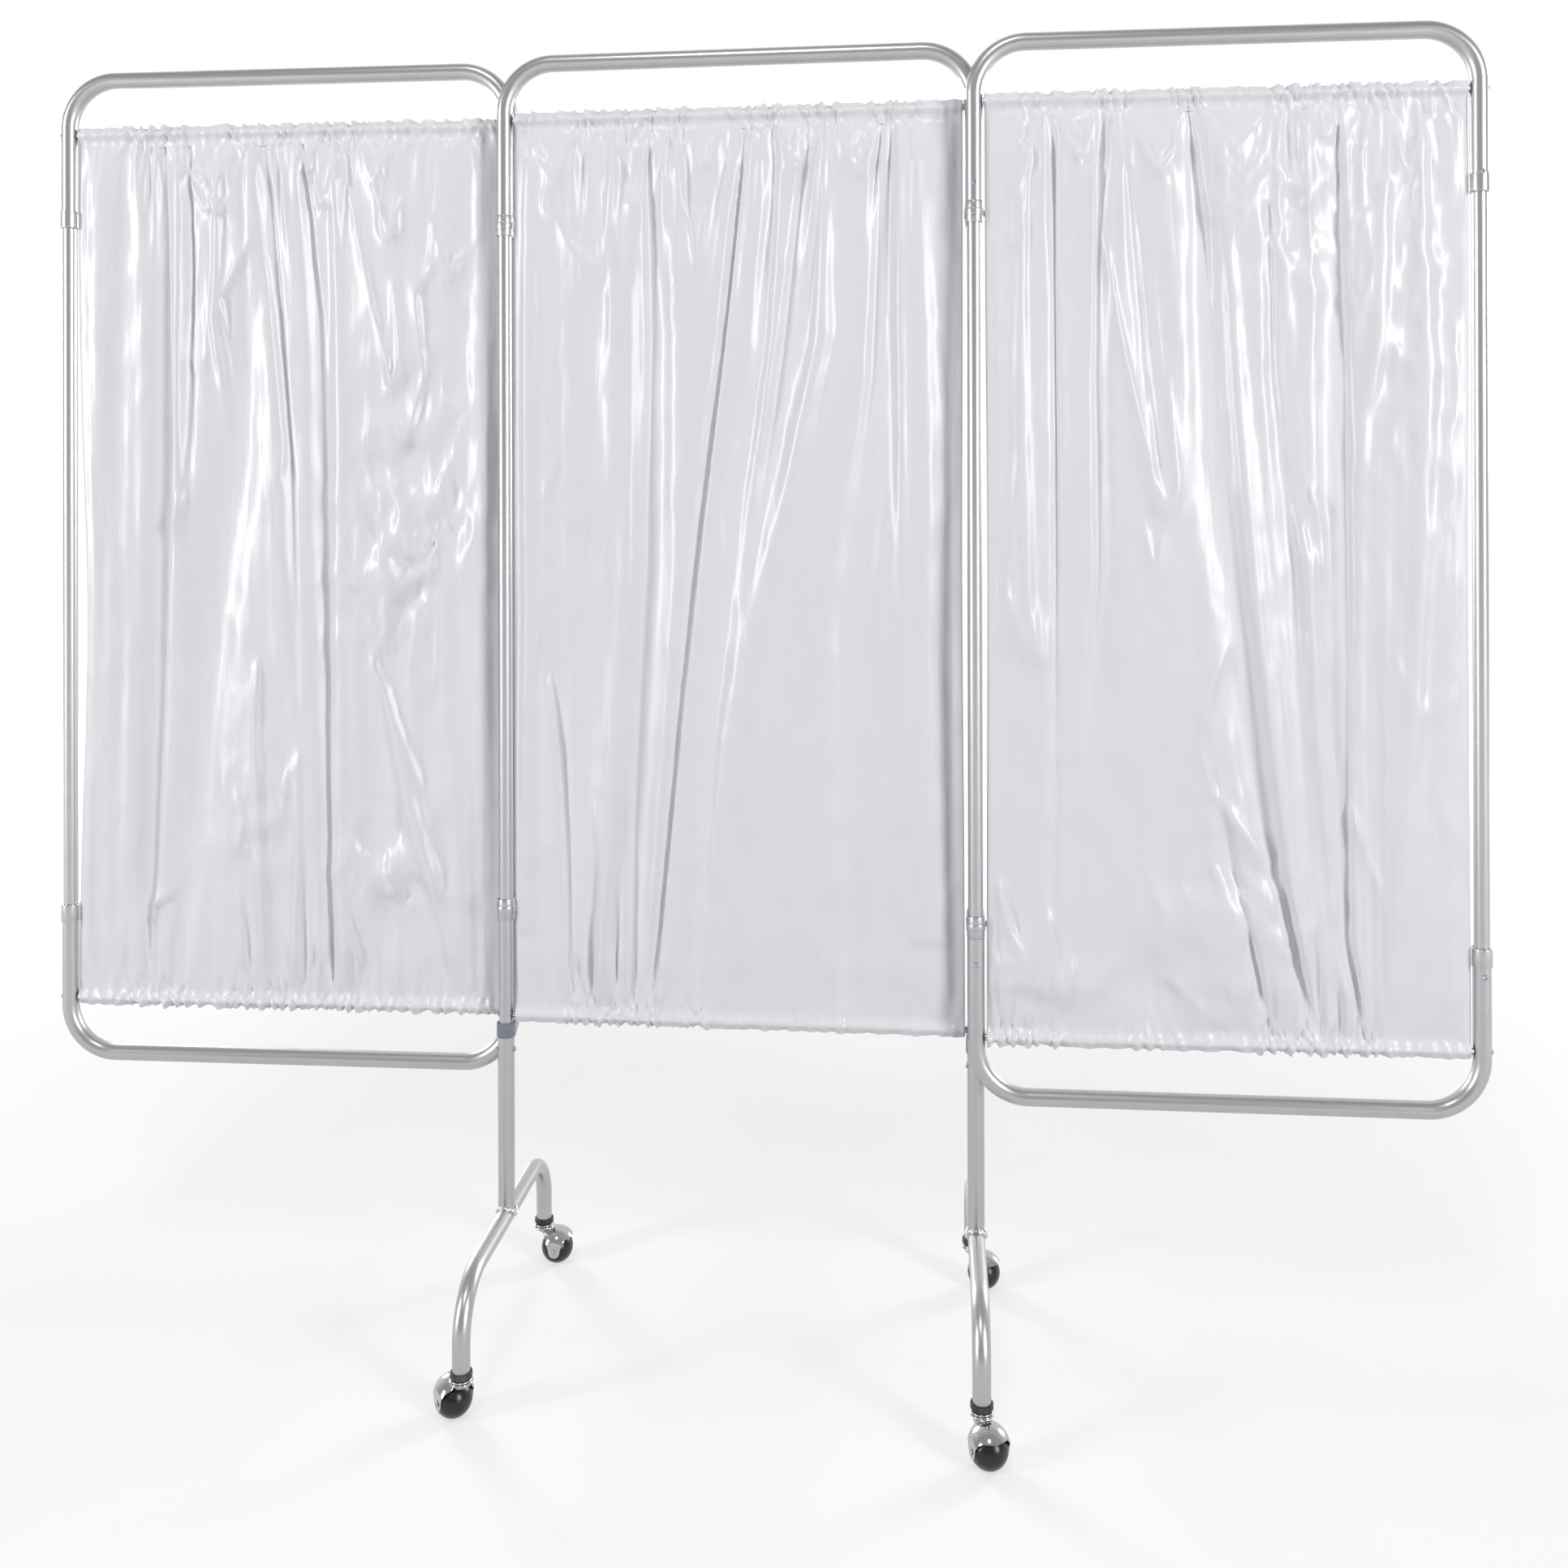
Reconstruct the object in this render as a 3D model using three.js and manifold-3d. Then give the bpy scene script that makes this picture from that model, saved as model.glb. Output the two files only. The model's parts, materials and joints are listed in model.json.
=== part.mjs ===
// Ward privacy screen on wheels: a centre frame on two arched feet with ball casters, and two
// outer frames that fold round on figure-eight clips. Each frame holds a shirred vinyl curtain.
// Millimetres, +Z up. The front of the screen faces -Y and the left frame lies towards -X.

import * as THREE from 'three';
import { mergeVertices } from 'three/addons/utils/BufferGeometryUtils.js';
import Module from 'manifold-3d';

const wasm = await Module();
wasm.setup();

// Overall sizes
const overallHeight = 1734;
const postSpacing = 632;
const bottomRailHeight = 358;
const seatGap = 0.3;

// Round tubes: bows, legs and feet share one tube, the posts slide inside it
const bowRadius = 11.1;
const postRadius = 9.5;
const postWall = 1.2;
const bendRadius = 67;
const bowLeg = 205;
const postInsertion = 55;
const tubeSides = 12;
const bendSteps = 4;

// Aluminium collars over the joints of the outer posts
const collarHeight = 24;
const collarWall = 1.1;
const collarLip = 2;
const collarRound = 1.5;

// Legs with their plastic collars
const legTopHeight = 420;
const legCollarHeight = 19;
const legCollarWall = 1.3;
const legCollarLip = 3;
const legCollarChamfer = 0.9;

// Arched feet
const footReach = 190;
const footRailHeight = 163;
const footEndHeight = 62;

// Hinge clips
const hingeSpacing = 24.6;
const clipHeight = 28;
const clipBand = 1.4;
const clipRibHeight = 9;
const clipRibRise = 0.5;
const clipWaist = 16;
const clipSides = 14;
const hingeRun = 0.5;

// Screws through the clips' waists, each with a spacer and a cap on its far end
const screwRadius = 2;
const screwHeadRadius = 3.2;
const screwHeadHeight = 4.6;
const spacerRadius = 3.2;
const spacerHeight = 5.2;
const screwCapRadius = 4.2;
const screwCapHeight = 2.4;
const screwSides = 8;

// Curtain rods and curtains
const rodRadius = 4.5;
const rodOffset = 76;
const rodSides = 8;
const sheetThickness = 1.2;
const curtainEdgeGap = 2.9;
const pocketWall = 1.3;
const pocketHead = 8.5;
const pocketSkirt = 17;
const foldDepth = 8;
const curtainColumns = 28;
const tunnelSides = 6;

// Ball casters
const ballRadius = 23.5;
const ballFlat = 20.3;
const treadWidth = 6;
const wheelSides = 18;
const casterTrail = 20;
const hoodClearance = 4.3;
const hoodSideClearance = 1.3;
const earClearance = 0.8;
const hoodWall = 1.2;
const hoodSides = 16;
const hoodRings = 10;
const earTipRadius = 8.2;
const axleRadius = 2.5;
const axleHeadRadius = 3.6;
const axleHeadHeight = 1.1;
const axleSides = 8;
const stemRadius = 4;
const stemLength = 26;
const stemHeadRadius = 5.2;
const stemHeadHeight = 1.3;
const raceRadius = 14;
const raceHeight = 2.6;
const raceRound = 0.9;
const turntableRadius = 14.8;
const turntableHeight = 2.8;
const neckRadius = 8.5;
const neckHeight = 13;
const socketRadius = 13.8;
const socketHeight = 7.4;
const socketRim = 3.2;
const socketRound = 1.2;
const socketPlugLength = 24;
const casterSides = 10;

// How the screen stands open, seen from above
const leftFrameTurn = THREE.MathUtils.degToRad(181.3);
const rightFrameTurn = THREE.MathUtils.degToRad(0.9);
const leftClipTurn = THREE.MathUtils.degToRad(90);
const rightClipTurn = THREE.MathUtils.degToRad(-90);
const casterTurns = {
  front_left: THREE.MathUtils.degToRad(135),
  front_right: THREE.MathUtils.degToRad(-68),
  rear_left: THREE.MathUtils.degToRad(0),
  rear_right: THREE.MathUtils.degToRad(-35),
};

// One length that lets every cutter pass right through what it cuts
const overrun = 5;

// Heights and radii that follow from the sizes above
const tubeBore = postRadius + seatGap;
const topRailHeight = overallHeight - bowRadius;
const topBowEnd = topRailHeight - bowLeg;
const bottomBowEnd = bottomRailHeight + bowLeg;
const topClipHeight = topBowEnd - seatGap - clipHeight / 2;
const bottomClipHeight = bottomBowEnd + seatGap + clipHeight / 2;
const topRodHeight = topRailHeight - rodOffset;
const bottomRodHeight = bottomRailHeight + rodOffset;
const treadRadius = Math.sqrt(ballRadius ** 2 - (treadWidth / 2) ** 2);
const axleHeight = treadRadius * Math.cos(Math.PI / wheelSides);
const socketBottom = footEndHeight - seatGap - (socketHeight - socketRim);

// Materials, by what each piece is made of
const satinAluminium = new THREE.MeshStandardMaterial({ color: '#c4c5c6', roughness: 0.3, metalness: 0.9 });
const brightSteel = new THREE.MeshStandardMaterial({ color: '#cfd1cc', roughness: 0.15, metalness: 1 });
const greyPlastic = new THREE.MeshStandardMaterial({ color: '#7d828e', roughness: 0.5, metalness: 0 });
const blackPlastic = new THREE.MeshStandardMaterial({ color: '#242426', roughness: 0.45, metalness: 0 });
const blackRubber = new THREE.MeshStandardMaterial({ color: '#2a2a2c', roughness: 0.6, metalness: 0 });
const whiteVinyl = new THREE.MeshStandardMaterial({ color: '#e6e6ec', roughness: 0.35, metalness: 0 });

// Main folds of each curtain. Places, widths and depths are shares of the curtain's width, its
// width again and the fold depth; a negative depth hangs back from the viewer.
const leftFoldShares = [
  { top: 0.05, bottom: 0.08, width: 0.035, depth: 0.45 },
  { top: 0.2, bottom: 0.15, width: 0.045, depth: -0.7 },
  { top: 0.25, bottom: 0.24, width: 0.03, depth: 0.95 },
  { top: 0.31, bottom: 0.34, width: 0.035, depth: -0.55 },
  { top: 0.42, bottom: 0.46, width: 0.05, depth: 0.6 },
  { top: 0.6, bottom: 0.62, width: 0.05, depth: -0.9 },
  { top: 0.68, bottom: 0.72, width: 0.035, depth: 0.8 },
  { top: 0.84, bottom: 0.86, width: 0.05, depth: -0.5 },
  { top: 0.94, bottom: 0.93, width: 0.035, depth: 0.6 },
];
const centreFoldShares = [
  { top: 0.06, bottom: 0.1, width: 0.045, depth: 0.5 },
  { top: 0.16, bottom: 0.21, width: 0.04, depth: -0.6 },
  { top: 0.31, bottom: 0.29, width: 0.035, depth: 1 },
  { top: 0.4, bottom: 0.33, width: 0.045, depth: -0.75 },
  { top: 0.5, bottom: 0.37, width: 0.04, depth: 0.6 },
  { top: 0.6, bottom: 0.52, width: 0.055, depth: -0.5 },
  { top: 0.72, bottom: 0.68, width: 0.05, depth: 0.55 },
  { top: 0.85, bottom: 0.84, width: 0.05, depth: -0.55 },
  { top: 0.94, bottom: 0.95, width: 0.035, depth: 0.4 },
];
const rightFoldShares = [
  { top: 0.04, bottom: 0.07, width: 0.035, depth: 0.7 },
  { top: 0.14, bottom: 0.12, width: 0.04, depth: -0.6 },
  { top: 0.26, bottom: 0.29, width: 0.045, depth: 0.65 },
  { top: 0.4, bottom: 0.42, width: 0.05, depth: -0.7 },
  { top: 0.47, bottom: 0.52, width: 0.045, depth: 0.55 },
  { top: 0.62, bottom: 0.66, width: 0.045, depth: -0.8 },
  { top: 0.73, bottom: 0.75, width: 0.035, depth: 1 },
  { top: 0.83, bottom: 0.82, width: 0.045, depth: -0.65 },
  { top: 0.94, bottom: 0.93, width: 0.04, depth: 0.4 },
];
// Lower edge of a hood in its side view, from the stem's side to the ear and on to the far lip, as
// shares of the ball's radius from the axle; the ear's round tip comes between the two runs
const hoodStemEdgeShares = [
  [-1.6, 1.12], [-1.12, 1.09], [-0.86, 1], [-0.72, 0.84], [-0.58, 0.68], [-0.46, 0.41],
];
const hoodLipEdgeShares = [[0.5, 0.41], [0.62, 0.66], [0.86, 0.74], [1.6, 0.78]];
// Rows of the curtain between its two seams, and how far in the folds reach their full depth
const bodyRowShares = [0.14, 0.5, 0.86];
const seamFoldShare = 0.35;
const edgeFadeShare = 0.03;

// A closed solid from a three.js geometry, for cutting and joining
function solid(geometry) {
  const bare = geometry.index ? geometry.toNonIndexed() : geometry.clone();
  bare.deleteAttribute('normal');
  bare.deleteAttribute('uv');
  const merged = mergeVertices(bare);
  return new wasm.Manifold(new wasm.Mesh({
    numProp: 3,
    vertProperties: new Float32Array(merged.attributes.position.array),
    triVerts: new Uint32Array(merged.index.array),
  }));
}

// A three.js geometry from a solid
function surface(body) {
  const mesh = body.getMesh();
  const positions = new Float32Array(mesh.vertProperties);
  const geometry = new THREE.BufferGeometry();
  geometry.setAttribute('position', new THREE.BufferAttribute(positions, mesh.numProp));
  geometry.setIndex(new THREE.BufferAttribute(new Uint32Array(mesh.triVerts), 1));
  geometry.computeVertexNormals();
  return geometry;
}

function piece(name, geometry, material) {
  const mesh = new THREE.Mesh(geometry, material);
  mesh.name = name;
  return mesh;
}

// One closed skin over rings of points, where the last ring meets the first again
function ringSkin(rings) {
  const sides = rings[0].length;
  const points = rings.flat();
  const faces = [];
  rings.forEach((ring, i) => {
    const here = i * sides;
    const next = ((i + 1) % rings.length) * sides;
    for (let j = 0; j < sides; j++) {
      const k = (j + 1) % sides;
      faces.push(here + j, here + k, next + k);
      faces.push(here + j, next + k, next + j);
    }
  });
  const geometry = new THREE.BufferGeometry().setFromPoints(points);
  geometry.setIndex(faces);
  geometry.computeVertexNormals();
  return geometry;
}

// A turned piece about Z from a closed outline of [radius, height] points, listed anticlockwise
function turned(outline, sides) {
  const points = [...outline, outline[0]].map(([radius, height]) => new THREE.Vector2(radius, height));
  return new THREE.LatheGeometry(points, sides).rotateX(Math.PI / 2);
}

// Points of a rounded corner on an outline, from one angle to another
function cornerArc(centreRadius, centreHeight, radius, fromAngle, toAngle, steps) {
  return Array.from({ length: steps + 1 }, (_, i) => {
    const angle = fromAngle + ((toAngle - fromAngle) * i) / steps;
    return [centreRadius + radius * Math.cos(angle), centreHeight + radius * Math.sin(angle)];
  });
}

// Stations along a flat route: straight runs joined by round bends
function bentRoute(corners) {
  const last = corners.length - 1;
  const run = (i) => corners[i + 1].clone().sub(corners[i]).normalize();
  const stations = [{ point: corners[0], direction: run(0) }];
  for (let i = 1; i < last; i++) {
    const arriving = run(i - 1);
    const leaving = run(i);
    const turn = arriving.angleTo(leaving);
    const axis = arriving.clone().cross(leaving).normalize();
    const start = corners[i].clone().addScaledVector(arriving, -bendRadius * Math.tan(turn / 2));
    const centre = start.clone().addScaledVector(axis.clone().cross(arriving), bendRadius);
    for (let step = 0; step <= bendSteps; step++) {
      const angle = (turn * step) / bendSteps;
      const point = start.clone().sub(centre).applyAxisAngle(axis, angle).add(centre);
      stations.push({ point, direction: arriving.clone().applyAxisAngle(axis, angle) });
    }
  }
  stations.push({ point: corners[last], direction: run(last - 1) });
  return stations;
}

// An open-ended tube along a flat route; across is the direction square to the route's plane
function openTube(stations, outerRadius, innerRadius, across) {
  const ring = ({ point, direction }, radius) => {
    const up = direction.clone().cross(across);
    return Array.from({ length: tubeSides }, (_, i) => {
      const angle = (2 * Math.PI * i) / tubeSides;
      return point.clone()
        .addScaledVector(across, radius * Math.cos(angle))
        .addScaledVector(up, radius * Math.sin(angle));
    });
  };
  const outer = stations.map((station) => ring(station, outerRadius));
  const inner = stations.map((station) => ring(station, innerRadius)).reverse();
  return ringSkin([...outer, ...inner]);
}

function straightTube(bottom, top, outerRadius, innerRadius) {
  const corners = [new THREE.Vector3(0, 0, bottom), new THREE.Vector3(0, 0, top)];
  return openTube(bentRoute(corners), outerRadius, innerRadius, new THREE.Vector3(1, 0, 0));
}

// A bow: its rail lies along X at height zero and both legs hang down
function bowGeometry() {
  const corners = [
    new THREE.Vector3(0, 0, -bowLeg),
    new THREE.Vector3(0, 0, 0),
    new THREE.Vector3(postSpacing, 0, 0),
    new THREE.Vector3(postSpacing, 0, -bowLeg),
  ];
  return openTube(bentRoute(corners), bowRadius, tubeBore, new THREE.Vector3(0, 1, 0));
}

function topBow(name) {
  const bow = piece(name, bowGeometry(), satinAluminium);
  bow.position.z = topRailHeight;
  return bow;
}

function bottomBow(name) {
  const bow = piece(name, bowGeometry(), satinAluminium);
  bow.rotation.x = Math.PI;
  bow.position.z = bottomRailHeight;
  return bow;
}

function post(name, bottom, top) {
  return piece(name, straightTube(bottom, top, postRadius, postRadius - postWall), satinAluminium);
}

// A sleeve over the end of a bow with a lip that closes on the slimmer post below it
function postCollar(name) {
  const inner = bowRadius + seatGap;
  const outer = inner + collarWall;
  const lipInner = tubeBore;
  const bottom = -collarLip - seatGap;
  const top = bottom + collarHeight;
  const outline = [
    [lipInner, bottom],
    ...cornerArc(outer - collarRound, bottom + collarRound, collarRound, -Math.PI / 2, 0, 1),
    ...cornerArc(outer - collarWall / 2, top - collarWall / 2, collarWall / 2, 0, Math.PI / 2, 1),
    [inner, top],
    [inner, -seatGap],
    [lipInner, -seatGap],
  ];
  return piece(name, turned(outline, tubeSides), satinAluminium);
}

// A plastic bush that caps the leg and guides the post
function legCollar(name) {
  const inner = bowRadius + seatGap;
  const outer = inner + legCollarWall;
  const top = seatGap + legCollarLip;
  const bottom = top - legCollarHeight;
  const outline = [
    [inner, bottom],
    [outer - legCollarChamfer, bottom],
    [outer, bottom + legCollarChamfer],
    ...cornerArc(outer - legCollarChamfer, top - legCollarChamfer, legCollarChamfer, 0, Math.PI / 2, 1),
    [tubeBore, top],
    [tubeBore, seatGap],
    [inner, seatGap],
  ];
  return piece(name, turned(outline, tubeSides), greyPlastic);
}

// A leg whose lower end is cut to sit on the foot tube
function leg(name) {
  const tube = solid(straightTube(footRailHeight, legTopHeight, bowRadius, tubeBore));
  const saddleRadius = bowRadius + seatGap;
  const saddle = new THREE.CylinderGeometry(saddleRadius, saddleRadius, 2 * footReach, tubeSides);
  saddle.translate(0, 0, footRailHeight);
  return piece(name, surface(tube.subtract(solid(saddle))), satinAluminium);
}

// An arched foot from its front end to its rear end
function foot(name) {
  const corners = [
    new THREE.Vector3(0, -footReach, footEndHeight),
    new THREE.Vector3(0, -footReach, footRailHeight),
    new THREE.Vector3(0, footReach, footRailHeight),
    new THREE.Vector3(0, footReach, footEndHeight),
  ];
  const tube = openTube(bentRoute(corners), bowRadius, tubeBore, new THREE.Vector3(1, 0, 0));
  return piece(name, tube, satinAluminium);
}

function rod(name, height, endRadius) {
  const length = postSpacing - 2 * (endRadius + seatGap);
  const geometry = new THREE.CylinderGeometry(rodRadius, rodRadius, length, rodSides).rotateZ(Math.PI / 2);
  const mesh = piece(name, geometry, brightSteel);
  mesh.position.set(postSpacing / 2, 0, height);
  return mesh;
}

// Half the curtain's thickness at each row of a hem pocket, listed from the edge to the seam
function pocketRows(rodHeight, away) {
  const bulge = rodRadius + seatGap + pocketWall;
  return [
    { height: rodHeight + away * pocketHead, half: pocketWall, depth: 0 },
    { height: rodHeight + away * (rodRadius / 2), half: bulge, depth: 0 },
    { height: rodHeight - away * (rodRadius / 2), half: bulge, depth: 0 },
    { height: rodHeight - away * pocketSkirt, half: sheetThickness / 2, depth: seamFoldShare },
  ];
}

function curtainRows() {
  const lowest = pocketRows(bottomRodHeight, -1);
  const highest = pocketRows(topRodHeight, 1).reverse();
  const bottomSeam = bottomRodHeight + pocketSkirt;
  const topSeam = topRodHeight - pocketSkirt;
  const body = bodyRowShares.map((share) => ({
    height: THREE.MathUtils.lerp(bottomSeam, topSeam, share),
    half: sheetThickness / 2,
    depth: 1,
  }));
  return [...lowest, ...body, ...highest];
}

// How far the curtain's middle surface stands off its plane
function foldOffset(foldShares, across, up) {
  const edgeFade = Math.min(1, across / edgeFadeShare, (1 - across) / edgeFadeShare);
  const sum = foldShares.reduce((total, fold) => {
    const place = THREE.MathUtils.lerp(fold.bottom, fold.top, up);
    return total + fold.depth * Math.exp(-(((across - place) / fold.width) ** 2));
  }, 0);
  return -foldDepth * edgeFade * THREE.MathUtils.clamp(sum, -1, 1);
}

// A curtain with a hem pocket round each rod; facing is 1 where its front looks to -Y, else -1
function curtain(name, foldShares, facing) {
  const rows = curtainRows();
  const start = bowRadius + curtainEdgeGap;
  const width = postSpacing - 2 * start;
  const lowest = rows[0].height;
  const span = rows[rows.length - 1].height - lowest;
  const loops = Array.from({ length: curtainColumns + 1 }, (_, column) => {
    const across = column / curtainColumns;
    const x = start + width * across;
    const share = facing > 0 ? across : 1 - across;
    const middles = rows.map(({ height, depth }) => (
      facing * depth * foldOffset(foldShares, share, (height - lowest) / span)
    ));
    const front = rows.map(({ height, half }, i) => new THREE.Vector3(x, middles[i] - half, height));
    const back = rows.map(({ height, half }, i) => new THREE.Vector3(x, middles[i] + half, height));
    return [...front, ...back.reverse()];
  });
  const count = 2 * rows.length;
  const faces = [];
  const quad = (a, b, c, d) => faces.push(a, b, c, a, c, d);
  for (let column = 0; column < curtainColumns; column++) {
    const here = column * count;
    for (let i = 0; i < count; i++) {
      const next = (i + 1) % count;
      const corners = [here + i, here + count + i, here + count + next, here + next];
      // Both walls split along the same diagonal, so that they keep their distance
      if (i >= rows.length) corners.push(corners.shift());
      quad(...corners);
    }
  }
  const lastLoop = curtainColumns * count;
  for (let i = 0; i < rows.length - 1; i++) {
    const opposite = count - 1 - i;
    quad(i, i + 1, opposite - 1, opposite);
    quad(lastLoop + opposite, lastLoop + opposite - 1, lastLoop + i + 1, lastLoop + i);
  }
  const cloth = new THREE.BufferGeometry().setFromPoints(loops.flat());
  cloth.setIndex(faces);
  const tunnelRadius = (rodRadius + seatGap) / Math.cos(Math.PI / tunnelSides);
  const tunnel = new THREE.CylinderGeometry(tunnelRadius, tunnelRadius, postSpacing, tunnelSides);
  tunnel.rotateZ(Math.PI / 2);
  const shape = [topRodHeight, bottomRodHeight].reduce((body, height) => (
    body.subtract(solid(tunnel.clone().translate(postSpacing / 2, 0, height)))
  ), solid(cloth));
  return piece(name, surface(shape), whiteVinyl);
}

// The figure-eight clip: two bands round two posts with an embossed rib and a pinched waist
function clip(name) {
  const bore = postRadius + hingeRun;
  const band = bore + clipBand;
  const upright = (radius, height, sides, x) => (
    solid(new THREE.CylinderGeometry(radius, radius, height, sides).rotateX(Math.PI / 2).translate(x, 0, 0))
  );
  const waist = new THREE.BoxGeometry(hingeSpacing, clipWaist, clipHeight);
  let shape = solid(waist.translate(hingeSpacing / 2, 0, 0));
  [0, hingeSpacing].forEach((x) => {
    shape = shape.add(upright(band, clipHeight, clipSides, x));
    shape = shape.add(upright(band + clipRibRise, clipRibHeight, clipSides, x));
  });
  [0, hingeSpacing].forEach((x) => {
    shape = shape.subtract(upright(bore, clipHeight + overrun, clipSides, x));
  });
  const holeRadius = screwRadius + seatGap;
  const hole = new THREE.CylinderGeometry(holeRadius, holeRadius, clipWaist + overrun, screwSides);
  shape = shape.subtract(solid(hole.translate(hingeSpacing / 2, 0, 0)));
  return piece(name, surface(shape), satinAluminium);
}

// The clip's screw along Y through the waist, with its spacer and cap
function clipScrew(name) {
  const face = clipWaist / 2 + seatGap;
  const outline = [
    [0, -face - screwHeadHeight],
    [screwHeadRadius, -face - screwHeadHeight],
    [screwHeadRadius, -face],
    [screwRadius, -face],
    [screwRadius, face],
    [spacerRadius, face],
    [spacerRadius, face + spacerHeight],
    [screwCapRadius, face + spacerHeight],
    [screwCapRadius, face + spacerHeight + screwCapHeight],
    [0, face + spacerHeight + screwCapHeight],
  ].map(([radius, height]) => new THREE.Vector2(radius, height));
  const screw = piece(name, new THREE.LatheGeometry(outline, screwSides), brightSteel);
  screw.position.x = hingeSpacing / 2;
  return screw;
}

// A black socket that closes the foot's end, with a rim round the tube and a plug inside it
function socket(name) {
  const rimInner = bowRadius + seatGap;
  const plugRadius = tubeBore - seatGap;
  const stemHole = stemRadius + seatGap;
  const seat = footEndHeight - seatGap;
  const roundMiddle = socketRadius - socketRound;
  const outline = [
    [stemHole, socketBottom],
    ...cornerArc(roundMiddle, socketBottom + socketRound, socketRound, -Math.PI / 2, 0, 1),
    ...cornerArc(roundMiddle, seat + socketRim - socketRound, socketRound, 0, Math.PI / 2, 1),
    [rimInner, seat + socketRim],
    [rimInner, seat],
    [plugRadius, seat],
    [plugRadius, seat + socketPlugLength],
    [stemHole, seat + socketPlugLength],
  ];
  return piece(name, turned(outline, tubeSides), blackPlastic);
}

// The fixed stem with the upper race under the socket and a peened head inside the hood
function stem(name) {
  const raceTop = socketBottom - seatGap;
  const raceBottom = raceTop - raceHeight;
  const headTop = raceBottom - turntableHeight - 2 * seatGap;
  const outline = [
    [0, headTop - stemHeadHeight],
    [stemHeadRadius, headTop - stemHeadHeight],
    [stemHeadRadius, headTop],
    [stemRadius, headTop],
    [stemRadius, raceBottom],
    [raceRadius - raceRound, raceBottom],
    [raceRadius, raceBottom + raceHeight / 2],
    [raceRadius - raceRound, raceTop],
    [stemRadius, raceTop],
    [stemRadius, raceTop + stemLength],
    [0, raceTop + stemLength],
  ];
  return piece(name, turned(outline, casterSides), brightSteel);
}

// A ball stretched fore and aft and upward, whose two sides are cut flat
function slicedBall(reach, side, flat) {
  const ball = new THREE.SphereGeometry(reach, hoodSides, hoodRings).rotateX(Math.PI / 2);
  const slab = new THREE.BoxGeometry(2 * reach + overrun, 2 * flat, 2 * reach + overrun);
  return solid(ball.scale(1, side / reach, 1)).intersect(solid(slab));
}

// All that the hood leaves open below its wavy edge, on both sides of the ears
function hoodOpening() {
  const edge = (shares) => shares.map(([x, z]) => [x * ballRadius, z * ballRadius]);
  const tip = cornerArc(0, 0, earTipRadius, Math.PI, 2 * Math.PI, 5);
  const stemEdge = edge(hoodStemEdgeShares);
  const lipEdge = edge(hoodLipEdgeShares);
  const floor = [lipEdge[lipEdge.length - 1], stemEdge[0]].map(([x]) => [x, -Math.abs(x)]);
  const points = [...stemEdge, ...tip, ...lipEdge, ...floor].map(([x, z]) => new THREE.Vector2(x, z));
  const outline = new THREE.Shape(points);
  const depth = 2 * (ballRadius + hoodClearance + hoodWall + overrun);
  const opening = new THREE.ExtrudeGeometry(outline, { depth, bevelEnabled: false });
  return opening.rotateX(Math.PI / 2).translate(0, depth / 2, 0);
}

// The pressed hood: a turntable under the race, a neck, and a dome over the ball with two ears.
// Its frame has the stem on Z and the ball at +X.
function hood(name) {
  const innerReach = ballRadius + hoodClearance;
  const innerSide = ballRadius + hoodSideClearance;
  const innerFlat = ballFlat + earClearance;
  const top = socketBottom - 2 * seatGap - raceHeight;
  const underside = top - turntableHeight;
  const upright = (upper, lower, height, bottom) => (
    solid(new THREE.CylinderGeometry(upper, lower, height, casterSides)
      .rotateX(Math.PI / 2).translate(0, 0, bottom + height / 2))
  );
  const dome = slicedBall(innerReach + hoodWall, innerSide + hoodWall, innerFlat + hoodWall)
    .translate([casterTrail, 0, axleHeight]);
  const hollow = slicedBall(innerReach, innerSide, innerFlat).translate([casterTrail, 0, axleHeight]);
  const axleHole = axleRadius + seatGap;
  const axleCut = new THREE.CylinderGeometry(axleHole, axleHole, 2 * (ballRadius + overrun), axleSides);
  const shape = dome
    .add(upright(turntableRadius, turntableRadius, turntableHeight, underside))
    .add(upright(turntableRadius, neckRadius, neckHeight, underside - neckHeight))
    .subtract(hollow)
    .subtract(solid(hoodOpening().translate(casterTrail, 0, axleHeight)))
    .subtract(upright(stemRadius + seatGap, stemRadius + seatGap, 2 * top, 0))
    .subtract(upright(stemHeadRadius + seatGap, stemHeadRadius + seatGap, underside, 0))
    .subtract(solid(axleCut.translate(casterTrail, 0, axleHeight)));
  return piece(name, surface(shape), brightSteel);
}

// The black ball: a turned tread with a bore, about Y through its own middle
function wheel(name) {
  const bore = axleRadius + seatGap;
  const sideAngle = Math.asin(ballFlat / ballRadius);
  const treadAngle = Math.asin(treadWidth / 2 / ballRadius);
  const outline = [
    [bore, -ballFlat],
    ...cornerArc(0, 0, ballRadius, -sideAngle, -treadAngle, 2),
    ...cornerArc(0, 0, ballRadius, treadAngle, sideAngle, 2),
    [bore, ballFlat],
  ];
  const geometry = turned(outline, wheelSides).rotateX(-Math.PI / 2).rotateY(Math.PI / wheelSides);
  return piece(name, geometry, blackRubber);
}

// The axle rivet through both ears
function axle(name) {
  const seat = ballFlat + earClearance + hoodWall + seatGap;
  const end = seat + axleHeadHeight;
  const outline = [
    [0, -end],
    [axleHeadRadius / 2, -end],
    [axleHeadRadius, -seat],
    [axleRadius, -seat],
    [axleRadius, seat],
    [axleHeadRadius, seat],
    [axleHeadRadius / 2, end],
    [0, end],
  ].map(([radius, height]) => new THREE.Vector2(radius, height));
  return piece(name, new THREE.LatheGeometry(outline, axleSides), brightSteel);
}

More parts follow.
